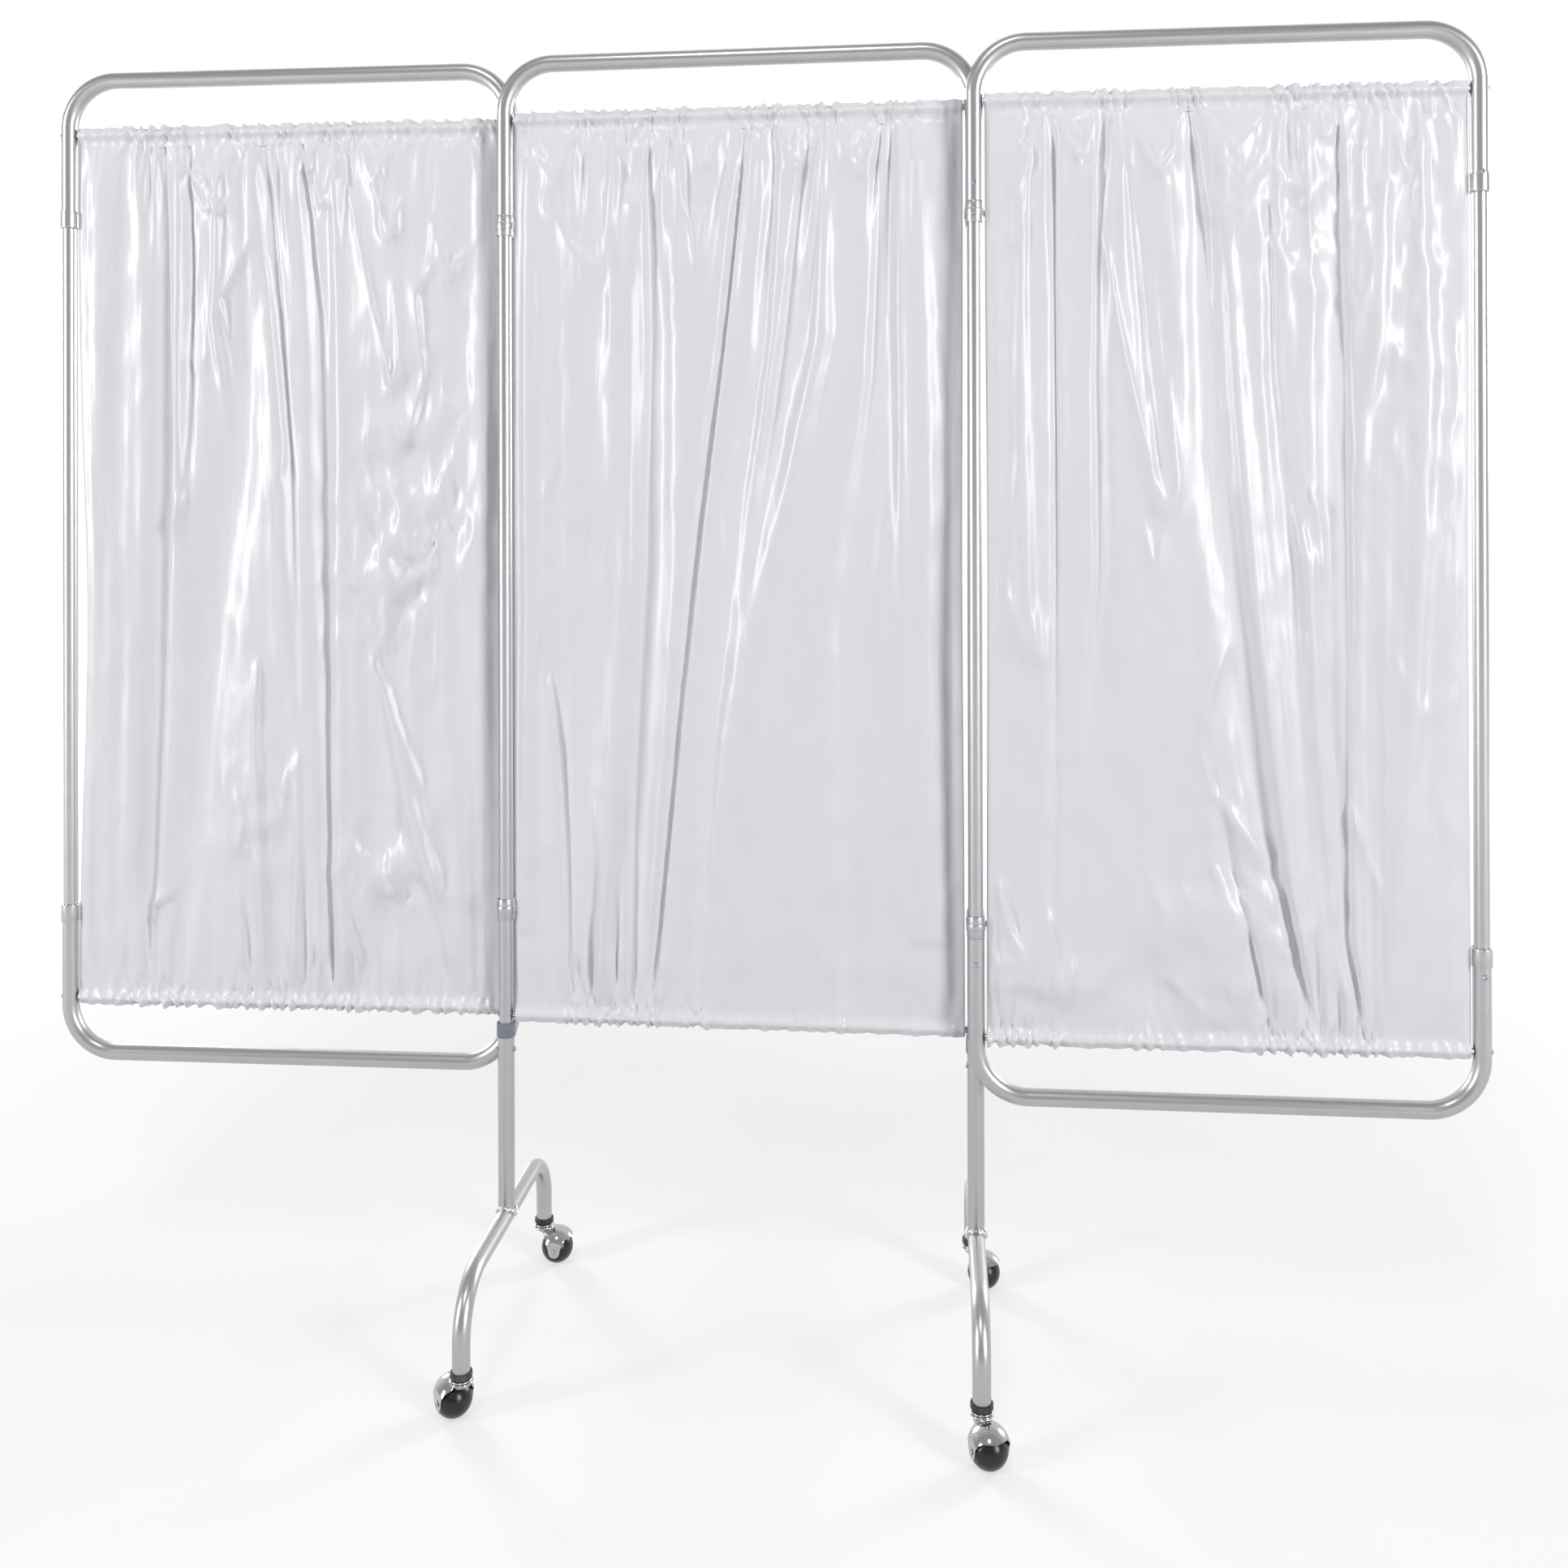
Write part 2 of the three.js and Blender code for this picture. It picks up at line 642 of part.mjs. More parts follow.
// One caster about its stem: the socket and stem stay, the hood swivels and the wheel turns
function caster(place) {
  const group = new THREE.Group();
  const swivel = new THREE.Group();
  swivel.rotation.z = casterTurns[place];
  const ball = new THREE.Group();
  ball.position.set(casterTrail, 0, axleHeight);
  ball.add(axle(`${place}_axle`), wheel(`${place}_wheel`));
  swivel.add(hood(`${place}_hood`), ball);
  group.add(socket(`${place}_socket`), stem(`${place}_stem`), swivel);
  return group;
}

function centreFrame() {
  const frame = new THREE.Group();
  frame.add(topBow('centre_top_bow'));
  frame.add(rod('centre_top_rod', topRodHeight, bowRadius));
  frame.add(rod('centre_bottom_rod', bottomRodHeight, postRadius));
  frame.add(curtain('centre_curtain', centreFoldShares, 1));
  [['left', 0], ['right', postSpacing]].forEach(([side, x]) => {
    const column = new THREE.Group();
    column.position.x = x;
    const collar = legCollar(`${side}_leg_collar`);
    collar.position.z = legTopHeight;
    column.add(
      post(`centre_${side}_post`, legTopHeight - postInsertion, topBowEnd + postInsertion),
      leg(`${side}_leg`),
      collar,
      foot(`${side}_foot`),
    );
    [['front', -footReach], ['rear', footReach]].forEach(([end, y]) => {
      const wheelSet = caster(`${end}_${side}`);
      wheelSet.position.y = y;
      column.add(wheelSet);
    });
    frame.add(column);
  });
  frame.position.x = -postSpacing / 2;
  return frame;
}

// An outer frame whose inner post stands on its origin; facing tells which face is the front
function outerFrame(side, foldShares, facing) {
  const frame = new THREE.Group();
  const innerPost = post(`${side}_inner_post`, bottomBowEnd - postInsertion, topBowEnd + postInsertion);
  const outerPost = post(`${side}_outer_post`, bottomBowEnd - postInsertion, topBowEnd + postInsertion);
  const topCollar = postCollar(`${side}_top_collar`);
  const bottomCollar = postCollar(`${side}_bottom_collar`);
  outerPost.position.x = postSpacing;
  topCollar.position.set(postSpacing, 0, topBowEnd);
  bottomCollar.position.set(postSpacing, 0, bottomBowEnd);
  bottomCollar.rotation.x = Math.PI;
  frame.add(topBow(`${side}_top_bow`), bottomBow(`${side}_bottom_bow`));
  frame.add(innerPost, outerPost, topCollar, bottomCollar);
  frame.add(rod(`${side}_top_rod`, topRodHeight, bowRadius));
  frame.add(rod(`${side}_bottom_rod`, bottomRodHeight, bowRadius));
  frame.add(curtain(`${side}_curtain`, foldShares, facing));
  return frame;
}

// The two clips of one side, with the frame that they carry
function hingedFrame(side, x, clipTurn, frameTurn, foldShares, facing) {
  const group = new THREE.Group();
  group.position.x = x;
  const clips = new THREE.Group();
  clips.rotation.z = clipTurn;
  [['top', topClipHeight], ['bottom', bottomClipHeight]].forEach(([level, height]) => {
    const pair = new THREE.Group();
    pair.position.z = height;
    pair.add(clip(`${side}_${level}_clip`), clipScrew(`${side}_${level}_clip_screw`));
    clips.add(pair);
  });
  const frame = outerFrame(side, foldShares, facing);
  frame.position.set(hingeSpacing * Math.cos(clipTurn), hingeSpacing * Math.sin(clipTurn), 0);
  frame.rotation.z = frameTurn;
  group.add(clips, frame);
  return group;
}

// The whole screen, with its origin on the floor under the middle of its box
function wardScreen() {
  const screen = new THREE.Group();
  screen.add(centreFrame());
  screen.add(hingedFrame('left', -postSpacing / 2, leftClipTurn, leftFrameTurn, leftFoldShares, -1));
  screen.add(hingedFrame('right', postSpacing / 2, rightClipTurn, rightFrameTurn, rightFoldShares, 1));
  screen.updateMatrixWorld(true);
  const middle = new THREE.Box3().setFromObject(screen, true).getCenter(new THREE.Vector3());
  screen.position.set(-middle.x, -middle.y, 0);
  return screen;
}

export default wardScreen();
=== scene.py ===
"""Ward privacy screen on wheels: the looks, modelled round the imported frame.

Lengths in the classes are millimetres. Every finished piece lies in the row frame in metres, with
its object at the origin. The front of the screen faces -Y.
"""

import json
import logging
import math
from dataclasses import dataclass
from enum import Enum
from typing import Iterable, Sequence

import bpy
import numpy as np
from mathutils import Matrix, Vector, noise

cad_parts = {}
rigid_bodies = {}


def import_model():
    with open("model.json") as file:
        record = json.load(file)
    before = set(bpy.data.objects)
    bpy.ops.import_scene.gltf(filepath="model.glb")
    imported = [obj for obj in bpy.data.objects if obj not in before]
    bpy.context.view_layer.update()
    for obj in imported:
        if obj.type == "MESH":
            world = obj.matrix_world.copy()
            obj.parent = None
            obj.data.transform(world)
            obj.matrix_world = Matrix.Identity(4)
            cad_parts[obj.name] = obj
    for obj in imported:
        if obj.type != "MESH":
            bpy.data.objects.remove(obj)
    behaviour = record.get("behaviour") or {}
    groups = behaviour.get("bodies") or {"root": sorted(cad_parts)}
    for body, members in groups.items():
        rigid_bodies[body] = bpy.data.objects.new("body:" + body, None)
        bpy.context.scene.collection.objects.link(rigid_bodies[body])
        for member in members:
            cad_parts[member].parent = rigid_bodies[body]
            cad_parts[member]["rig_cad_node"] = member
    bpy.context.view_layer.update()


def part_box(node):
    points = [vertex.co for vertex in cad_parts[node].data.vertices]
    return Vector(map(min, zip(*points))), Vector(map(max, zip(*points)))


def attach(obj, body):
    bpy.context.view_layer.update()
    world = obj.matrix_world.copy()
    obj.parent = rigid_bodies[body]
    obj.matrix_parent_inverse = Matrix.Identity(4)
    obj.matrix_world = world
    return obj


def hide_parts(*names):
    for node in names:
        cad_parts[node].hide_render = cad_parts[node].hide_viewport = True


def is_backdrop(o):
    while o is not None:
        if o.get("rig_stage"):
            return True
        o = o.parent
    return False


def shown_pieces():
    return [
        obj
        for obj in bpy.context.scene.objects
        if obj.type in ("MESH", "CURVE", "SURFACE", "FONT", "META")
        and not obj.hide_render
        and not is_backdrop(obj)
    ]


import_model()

log = logging.getLogger("ward_screen")

MM = 0.001
FULL_TURN = 2 * math.pi
QUARTER = math.pi / 2
PHOTO_PIXELS = 1932
SMOOTH_ANGLE = math.radians(35)
WHITE = "#ffffff"
MERGE_DISTANCE = 1e-6
RIPPLE_CELLS = 64
RIPPLE_HEIGHT = 1.6
# How much a fold's full lean steepens one wall and tips the ridge over it
STEEPENING = 0.6
OVERHANG = 0.9
# The layers of a curtain: round its rods, and one body between its seams
BACK, CREST, FRONT, BODY = -1.0, 0.0, 1.0, 2.0
SEEN_RAYS = ("Is Camera Ray", "Is Glossy Ray", "Is Transmission Ray")

Piece = bpy.types.Object
Socket = bpy.types.NodeSocket
Tree = bpy.types.NodeTree
Grid = np.ndarray
Span = tuple[float, float]
Rows = tuple[tuple[float, ...], ...]
Corners = Sequence[tuple[float, ...]]


class Side(Enum):
    """Which side of the screen a part stands on, as the viewer sees it."""

    LEFT = "left"
    RIGHT = "right"


class Level(Enum):
    """Upper or lower copy of a part."""

    TOP = "top"
    BOTTOM = "bottom"


class Corner(Enum):
    """The four casters."""

    FRONT_LEFT = "front_left"
    FRONT_RIGHT = "front_right"
    REAR_LEFT = "rear_left"
    REAR_RIGHT = "rear_right"


class Bench:
    """Hand modelling moves that every sub-assembly uses. Lengths come in millimetres."""

    @staticmethod
    def clear() -> None:
        """Leaves edit mode and deselects everything."""
        if bpy.context.object and bpy.context.object.mode != "OBJECT":
            bpy.ops.object.mode_set(mode="OBJECT")
        bpy.ops.object.select_all(action="DESELECT")

    @staticmethod
    def take(piece: Piece) -> None:
        """Selects one piece and makes it active."""
        Bench.clear()
        piece.select_set(True)
        bpy.context.view_layer.objects.active = piece

    @staticmethod
    def named(name: str) -> Piece:
        """Names the piece just added and moves its place and turn into its mesh."""
        piece = bpy.context.object
        piece.name = name
        bpy.ops.object.transform_apply(location=True, rotation=True, scale=True)
        return piece

    @staticmethod
    def open_up() -> None:
        """Opens the active piece in edit mode with all of it selected."""
        bpy.ops.object.mode_set(mode="EDIT")
        bpy.ops.mesh.select_all(action="SELECT")

    @staticmethod
    def close_up() -> None:
        """Merges doubles, turns all faces outwards and leaves edit mode."""
        bpy.ops.mesh.select_all(action="SELECT")
        bpy.ops.mesh.remove_doubles(threshold=MERGE_DISTANCE)
        bpy.ops.mesh.normals_make_consistent(inside=False)
        bpy.ops.object.mode_set(mode="OBJECT")

    @staticmethod
    def chain(name: str, points: Sequence[Vector]) -> Piece:
        """Draws a chain of edges through points.

        Args:
            name: name of the new piece.
            points: places in millimetres.

        Returns:
            The piece, still in edit mode with all of it selected.
        """
        Bench.clear()
        bpy.ops.mesh.primitive_plane_add(size=MM, location=(0, 0, 0))
        piece = Bench.named(name)
        Bench.open_up()
        bpy.ops.mesh.merge(type="CENTER")
        bpy.ops.transform.translate(value=points[0] * MM)
        for here, there in zip(points, points[1:]):
            step = (there - here) * MM
            bpy.ops.mesh.extrude_vertices_move(TRANSFORM_OT_translate={"value": step})
        bpy.ops.mesh.select_all(action="SELECT")
        return piece

    @staticmethod
    def turned(name: str, corners: Corners, sides: int, round_steps: int = 5) -> Piece:
        """Turns an outline about Z as on a lathe.

        Args:
            name: name of the new piece.
            corners: (radius, height, rounding) of each; a ring's outline ends where it starts.
            sides: divisions of the turn.
            round_steps: divisions of each rounding.

        Returns:
            A closed piece about the Z axis.
        """
        outline = Bench.rounded(corners, round_steps)
        piece = Bench.chain(name, [Vector((radius, 0, height)) for radius, height in outline])
        bpy.ops.mesh.spin(steps=sides, angle=FULL_TURN, center=(0, 0, 0), axis=(0, 0, 1))
        Bench.close_up()
        return piece

    @staticmethod
    def plate(name: str, outline: Corners, depth: float) -> Piece:
        """A flat plate in the XZ plane with its thickness along Y, centred."""
        piece = Bench.chain(name, [Vector((x, -depth / 2, z)) for x, z in outline])
        bpy.ops.mesh.edge_face_add()
        bpy.ops.mesh.extrude_region_move(TRANSFORM_OT_translate={"value": (0, depth * MM, 0)})
        Bench.close_up()
        return piece

    @staticmethod
    def bent_tube(name: str, route: "Route", radius: float, wall: float) -> Piece:
        """Draws a tube along a flat route: a ring pulled along each run and spun round each bend.

        Args:
            name: name of the new piece.
            route: the tube's centreline.
            radius: outer radius.
            wall: wall thickness.

        Returns:
            The tube with its inner wall and rims, and its grain attribute.
        """
        Bench.clear()
        aim = route.heading(0).to_track_quat("Z", "Y").to_euler()
        bpy.ops.mesh.primitive_circle_add(
            vertices=route.sides, radius=radius * MM, location=route.corners[0] * MM, rotation=aim
        )
        piece = Bench.named(name)
        Bench.open_up()
        for run in route.runs():
            step = (run.end - run.start) * MM
            bpy.ops.mesh.extrude_region_move(TRANSFORM_OT_translate={"value": step})
            if run.turn:
                # The spin operator turns clockwise about its axis
                bpy.ops.mesh.spin(
                    steps=route.bend_steps, angle=-run.turn, center=run.centre * MM, axis=run.axis
                )
        Bench.close_up()
        Bench.modify(piece, "SOLIDIFY", thickness=wall * MM, offset=-1)
        route.grain(piece)
        return piece

    @staticmethod
    def modify(piece: Piece, kind: str, **settings: object) -> None:
        """Adds one modifier with its settings and applies it."""
        Bench.take(piece)
        modifier = piece.modifiers.new(kind.lower(), kind)
        for key, value in settings.items():
            setattr(modifier, key, value)
        bpy.ops.object.modifier_apply(modifier=modifier.name)

    @staticmethod
    def combine(piece: Piece, operation: str, *tools: Piece) -> None:
        """Cuts or joins a piece with tools that are then thrown away."""
        for tool in tools:
            Bench.modify(piece, "BOOLEAN", operation=operation, object=tool, solver="EXACT")
            Bench.scrap(tool)

    @staticmethod
    def rounded(corners: Corners, steps: int) -> list[tuple[float, float]]:
        """Rounds the corners of an outline.

        Args:
            corners: (x, z) of each sharp corner, and (x, z, radius) of each round one.
            steps: divisions of each round.

        Returns:
            The outline's points.
        """
        points = []
        last = len(corners) - 1
        for i, (x, z, *size) in enumerate(corners):
            if not any(size) or i in (0, last):
                points.append((x, z))
                continue
            here = Vector((x, z))
            before = (Vector(corners[i - 1][:2]) - here).normalized()
            after = (Vector(corners[i + 1][:2]) - here).normalized()
            half = before.angle(after) / 2
            reach = size[0] / math.tan(half)
            middle = here + (before + after).normalized() * (size[0] / math.sin(half))
            first = here + before * reach - middle
            turn = first.angle_signed(here + after * reach - middle)
            for k in range(steps + 1):
                angle = -turn * k / steps
                cosine, sine = math.cos(angle), math.sin(angle)
                away_x = first.x * cosine - first.y * sine
                away_z = first.x * sine + first.y * cosine
                points.append(tuple(middle + Vector((away_x, away_z))))
        return points

    @staticmethod
    def moved(master: Piece, name: str, place: Matrix) -> Piece:
        """Copies a master piece, mesh and all, to a place given in metres."""
        copy = master.copy()
        copy.data = master.data.copy()
        copy.name = copy.data.name = name
        bpy.context.scene.collection.objects.link(copy)
        copy.data.transform(place)
        return copy

    @staticmethod
    def scrap(*masters: Piece) -> None:
        """Throws masters away once their copies stand in place."""
        for master in masters:
            bpy.data.objects.remove(master, do_unlink=True)


@dataclass(frozen=True)
class Run:
    """One straight run of a route and the bend that ends it."""

    start: Vector
    end: Vector
    centre: Vector
    axis: Vector
    turn: float


@dataclass(frozen=True)
class Route:
    """A tube's centreline: straight runs through corners, joined by round bends."""

    corners: tuple[Vector, ...]
    bend_radius: float
    across: Vector
    sides: int = 40
    bend_steps: int = 20
    grain_step: float = 2.0

    def heading(self, i: int) -> Vector:
        """Direction of the run that leaves corner i."""
        return (self.corners[i + 1] - self.corners[i]).normalized()

    def runs(self) -> list[Run]:
        """The runs in order; the last one has no bend."""
        runs = []
        start = self.corners[0]
        for i in range(1, len(self.corners) - 1):
            arriving, leaving = self.heading(i - 1), self.heading(i)
            turn = arriving.angle(leaving)
            axis = arriving.cross(leaving).normalized()
            setback = self.bend_radius * math.tan(turn / 2)
            end = self.corners[i] - arriving * setback
            centre = end + axis.cross(arriving) * self.bend_radius
            runs.append(Run(start, end, centre, axis, turn))
            start = self.corners[i] + leaving * setback
        runs.append(Run(start, self.corners[-1], start, self.across, 0.0))
        return runs

    def line(self) -> tuple[Grid, Grid]:
        """Points close together along the centreline, in millimetres, and the headings there."""
        points, headings = [], []
        fine = 4 * self.bend_steps
        for run in self.runs():
            way = (run.end - run.start).normalized()
            count = max(2, int((run.end - run.start).length / self.grain_step))
            points += [run.start.lerp(run.end, k / count) for k in range(count)]
            headings += [way] * count
            for k in range(fine if run.turn else 1):
                turned = Matrix.Rotation(run.turn * k / fine, 3, run.axis)
                points.append(run.centre + turned @ (run.end - run.centre) if run.turn else run.end)
                headings.append(turned @ way if run.turn else way)
        return np.array(points), np.array(headings)

    def grain(self, piece: Piece) -> None:
        """Writes each point's place across and along the tube, so its lines follow the bends."""
        points, headings = self.line()
        lengths = np.concatenate([[0], np.linalg.norm(np.diff(points, axis=0), axis=1).cumsum()])
        places = local_places(piece) / MM
        nearest = np.array([np.argmin(((points - place) ** 2).sum(1)) for place in places])
        away = places - points[nearest]
        across = np.array(self.across)
        up = np.cross(headings[nearest], across)
        along = lengths[nearest] + (away * headings[nearest]).sum(1)
        write_grain(piece, np.stack([away @ across, (away * up).sum(1), along], axis=1) * MM)


def local_places(piece: Piece) -> Grid:
    """Every vertex of a piece, in metres."""
    places = np.zeros(len(piece.data.vertices) * 3)
    piece.data.vertices.foreach_get("co", places)
    return places.reshape(-1, 3)


def write_grain(piece: Piece, grain: Grid) -> None:
    """Stores grain coordinates on the points of a piece."""
    attribute = piece.data.attributes.new("grain", "FLOAT_VECTOR", "POINT")
    attribute.data.foreach_set("vector", grain.astype(np.float32).ravel())


def linear(colour: str) -> tuple[float, float, float, float]:
    """Turns an sRGB hex colour to linear RGBA."""
    parts = [int(colour[i:i + 2], 16) / 255 for i in (1, 3, 5)]
    bent = [c / 12.92 if c <= 0.04045 else ((c + 0.055) / 1.055) ** 2.4 for c in parts]
    return (*bent, 1.0)


def add_node(
    tree: Tree, kind: str, inputs: dict | None = None, output: int | str = 0, **settings: object
) -> Socket:
    """Adds a shader node with its settings, values and links.

    Args:
        tree: node tree to add to.
        kind: Blender's name of the node type, less its first words.
        inputs: value, or output socket to link, for each input by name or number.
        output: which output is wanted.
        settings: properties of the node.

    Returns:
        The wanted output socket of the new node.
    """
    node = tree.nodes.new(f"ShaderNode{kind}")
    for key, value in settings.items():
        setattr(node, key, value)
    for socket, value in (inputs or {}).items():
        if isinstance(value, Socket):
            tree.links.new(value, node.inputs[socket])
        else:
            node.inputs[socket].default_value = value
    return node.outputs[output]


@dataclass(frozen=True)
class Surface:
    """One material with its node tree and its shader."""

    material: bpy.types.Material
    tree: Tree
    shader: bpy.types.Node

    @classmethod
    def made(cls, name: str, values: dict[str, object]) -> "Surface":
        """Makes a material with plain values on its shader's own sockets."""
        material = bpy.data.materials.new(name)
        material.use_nodes = True
        surface = cls(material, material.node_tree, material.node_tree.nodes["Principled BSDF"])
        surface.set(values)
        return surface

    def set(self, values: dict[str, object]) -> None:
        """Sets plain values on the shader's own sockets."""
        for key, value in values.items():
            self.shader.inputs[key].default_value = value

    def place(self) -> Socket:
        """Object coordinates, in metres."""
        return add_node(self.tree, "TexCoord", output="Object")

    def noise(
        self,
        place: Socket,
        scale: float,
        detail: float,
        more: dict | None = None,
        **settings: object,
    ) -> Socket:
        """Noise at each place, with more inputs and settings where it needs them."""
        values = {0: place, "Scale": scale, "Detail": detail, **(more or {})}
        return add_node(self.tree, "TexNoise", values, **settings)

    def mapped(self, mask: Socket, start: float, end: float, top: float) -> Socket:
        """A mask that rises from zero at its start to its top value at its end."""
        return add_node(self.tree, "MapRange", {0: mask, 1: start, 2: end, 4: top})

    def tint(self, mask: Socket, other: str) -> None:
        """Lets the colour drift to another one where a mask says so."""
        base = self.shader.inputs["Base Color"]
        colours = {0: mask, 6: tuple(base.default_value), 7: linear(other)}
        self.tree.links.new(add_node(self.tree, "Mix", colours, 2, data_type="RGBA"), base)

    def rough(self, mask: Socket, low: float, high: float) -> None:
        """Lets the roughness run between two values with a mask."""
        spread = add_node(self.tree, "MapRange", {0: mask, 3: low, 4: high})
        self.tree.links.new(spread, self.shader.inputs["Roughness"])

    def emboss(self, *layers: tuple[Socket, float, float]) -> None:
        """Bumps the surface with each height in turn, with its strength and distance in metres."""
        normal = {}
        for height, strength, distance in layers:
            values = {"Height": height, "Strength": strength, "Distance": distance, **normal}
            normal = {"Normal": add_node(self.tree, "Bump", values)}
        self.tree.links.new(normal["Normal"], self.shader.inputs["Normal"])


@dataclass(frozen=True)
class Finish:
    """A finish with its plain shader values; each kind adds its own surface detail."""

    name: str
    slot: str
    colour: str
    roughness: float
    metallic: float = 0.0

    def material(self) -> bpy.types.Material:
        """Returns the material, made once."""
        found = bpy.data.materials.get(self.name)
        if found:
            return found
        surface = Surface.made(self.name, {
            "Base Color": linear(self.colour),
            "Roughness": self.roughness,
            "Metallic": self.metallic,
        })
        self.detail(surface)
        return surface.material

    def detail(self, surface: Surface) -> None:
        """Adds the surface detail of this finish."""

    def dress(self, piece: Piece, body: str, *stands_for: str) -> None:
        """Gives a piece this finish, its body and the CAD nodes that it stands for."""
        piece.data.materials.clear()
        piece.data.materials.append(self.material())
        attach(piece, body)
        if stands_for:
            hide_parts(*stands_for)
        log.info("%s: %d faces on %s", piece.name, len(piece.data.polygons), body)

    def stand(self, master: Piece, name: str, place: Matrix, body: str, *stands_for: str) -> None:
        """Copies a master to its place under a new name and dresses the copy."""
        self.dress(Bench.moved(master, name, place), body, *stands_for)


class DrawnAluminium(Finish):
    """Satin anodised drawn tube: soft lengthwise lines and a slightly cloudy oxide."""

    def detail(self, surface: Surface) -> None:
        """Draws lines along the grain and a cloudy tone."""
        grain = add_node(surface.tree, "Attribute", output="Vector", attribute_name="grain")
        # Die lines are about 0.3 mm apart; they are drawn 0.8 mm apart so that they show
        stretched = add_node(surface.tree, "Mapping", {0: grain, 3: (1, 1, 0.012)})
        lines = surface.noise(stretched, 1250, 3)
        clouds = surface.noise(grain, 28, 5)
        surface.tint(clouds, "#aeaeb1")
        blend = add_node(surface.tree, "Math", {0: lines, 1: clouds}, operation="MULTIPLY")
        surface.rough(blend, self.roughness - 0.06, self.roughness + 0.1)
        surface.emboss((lines, 0.09, 0.0002))


class PlatedSteel(Finish):
    """Bright plate over pressed or turned metal: near mirror, a little wavy."""

    def detail(self, surface: Surface) -> None:
        """Adds press waves and smears."""
        place = surface.place()
        waves = surface.noise(place, 90, 2)
        surface.rough(surface.noise(place, 260, 6), self.roughness * 0.5, self.roughness * 1.7)
        surface.tint(waves, "#adaeae")
        surface.emboss((waves, 0.25, 0.0004))


class MouldedPlastic(Finish):
    """Injection-moulded polymer with a fine spark-eroded texture."""

    def detail(self, surface: Surface) -> None:
        """Adds mould grain, drawn 0.5 mm coarse, and worn lighter patches."""
        place = surface.place()
        wear = surface.noise(place, 70, 6)
        surface.tint(surface.mapped(wear, 0.5, 0.8, 0.35), "#9a9ca2")
        surface.rough(wear, self.roughness - 0.1, self.roughness + 0.12)
        surface.emboss((surface.noise(place, 2000, 2), 0.2, 0.0001))


class PolishedBall(Finish):
    """Hard black phenolic ball, polished, with a haze of floor scuffs."""

    def detail(self, surface: Surface) -> None:
        """Adds scuffs and a dusty haze."""
        haze = surface.noise(surface.place(), 120, 8)
        surface.tint(surface.mapped(haze, 0.55, 0.85, 0.12), "#6a6a6c")
        surface.rough(haze, self.roughness - 0.08, self.roughness + 0.2)


class CoatedVinyl(Finish):
    """Flexible PVC sheet: calendered skin with a soft gloss over a fine leathery emboss."""

    def detail(self, surface: Surface) -> None:
        """Adds the emboss, a wandering gloss and faint handling shade."""
        flat = add_node(surface.tree, "UVMap", uv_map="cut")
        surface.tint(surface.noise(flat, 5, 3), "#eaeaee")
        surface.rough(surface.noise(flat, 14, 4), self.roughness - 0.03, self.roughness + 0.04)
        surface.set({"Coat Weight": 0.11, "Coat Roughness": 0.14})
        # Fine pulls run down the cloth about 20 mm apart, and soft dents lie between them
        drawn = add_node(surface.tree, "Mapping", {0: flat, 3: (46, 7, 1)})
        pulls = surface.noise(drawn, 1, 3, {"Distortion": 0.5})
        dents = surface.noise(flat, 17, 4, {"Roughness": 0.45}, noise_type="RIDGED_MULTIFRACTAL")
        # The emboss repeats each 0.6 mm; it is drawn 1.2 mm coarse so that it shows close up
        leather = surface.noise(flat, 850, 2)
        surface.emboss((pulls, 0.6, 0.0025), (dents, 0.5, 0.0012), (leather, 0.06, 0.0003))


ALUMINIUM = DrawnAluminium("satin_anodised_aluminium", "satin_aluminium", "#bcbcbe", 0.34, 1.0)
NICKEL = PlatedSteel("bright_nickel_plate", "bright_steel", "#c3c4c5", 0.1, 1.0)
ZINC = PlatedSteel("blue_zinc_plate", "bright_steel", "#aeb4c4", 0.16, 1.0)
FRESH_WELD = PlatedSteel("bright_aluminium_weld", "satin_aluminium", "#cfd0d1", 0.2, 1.0)
BRASS = PlatedSteel("turned_brass", "bright_steel", "#a8826a", 0.3, 1.0)
GREY_PLASTIC = MouldedPlastic("grey_moulded_nylon", "grey_plastic", "#7d828e", 0.45)
BLACK_PLASTIC = MouldedPlastic("black_moulded_nylon", "black_plastic", "#161618", 0.4)
BALL = PolishedBall("black_phenolic_ball", "black_rubber", "#131315", 0.2)
VINYL = CoatedVinyl("white_pvc_sheet", "white_vinyl", "#e5e5eb", 0.34)


def spot(node: str) -> Vector:
    """Middle of a CAD node's box, in metres."""
    low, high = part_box(node)
    return (low + high) / 2


def column(node: str) -> Matrix:
    """A placement that stands on the floor at a CAD node's axis."""
    middle = spot(node)
    return Matrix.Translation((middle.x, middle.y, 0))


def slide(x: float, y: float = 0.0, z: float = 0.0) -> Matrix:
    """A move by millimetres."""
    return Matrix.Translation((x * MM, y * MM, z * MM))


def lift(height: float) -> Matrix:
    """A move up by a height in millimetres."""
    return slide(0, 0, height)


def turn(angle: float, axis: str = "Z") -> Matrix:
    """A turn by radians about a main axis."""
    return Matrix.Rotation(angle, 4, axis)


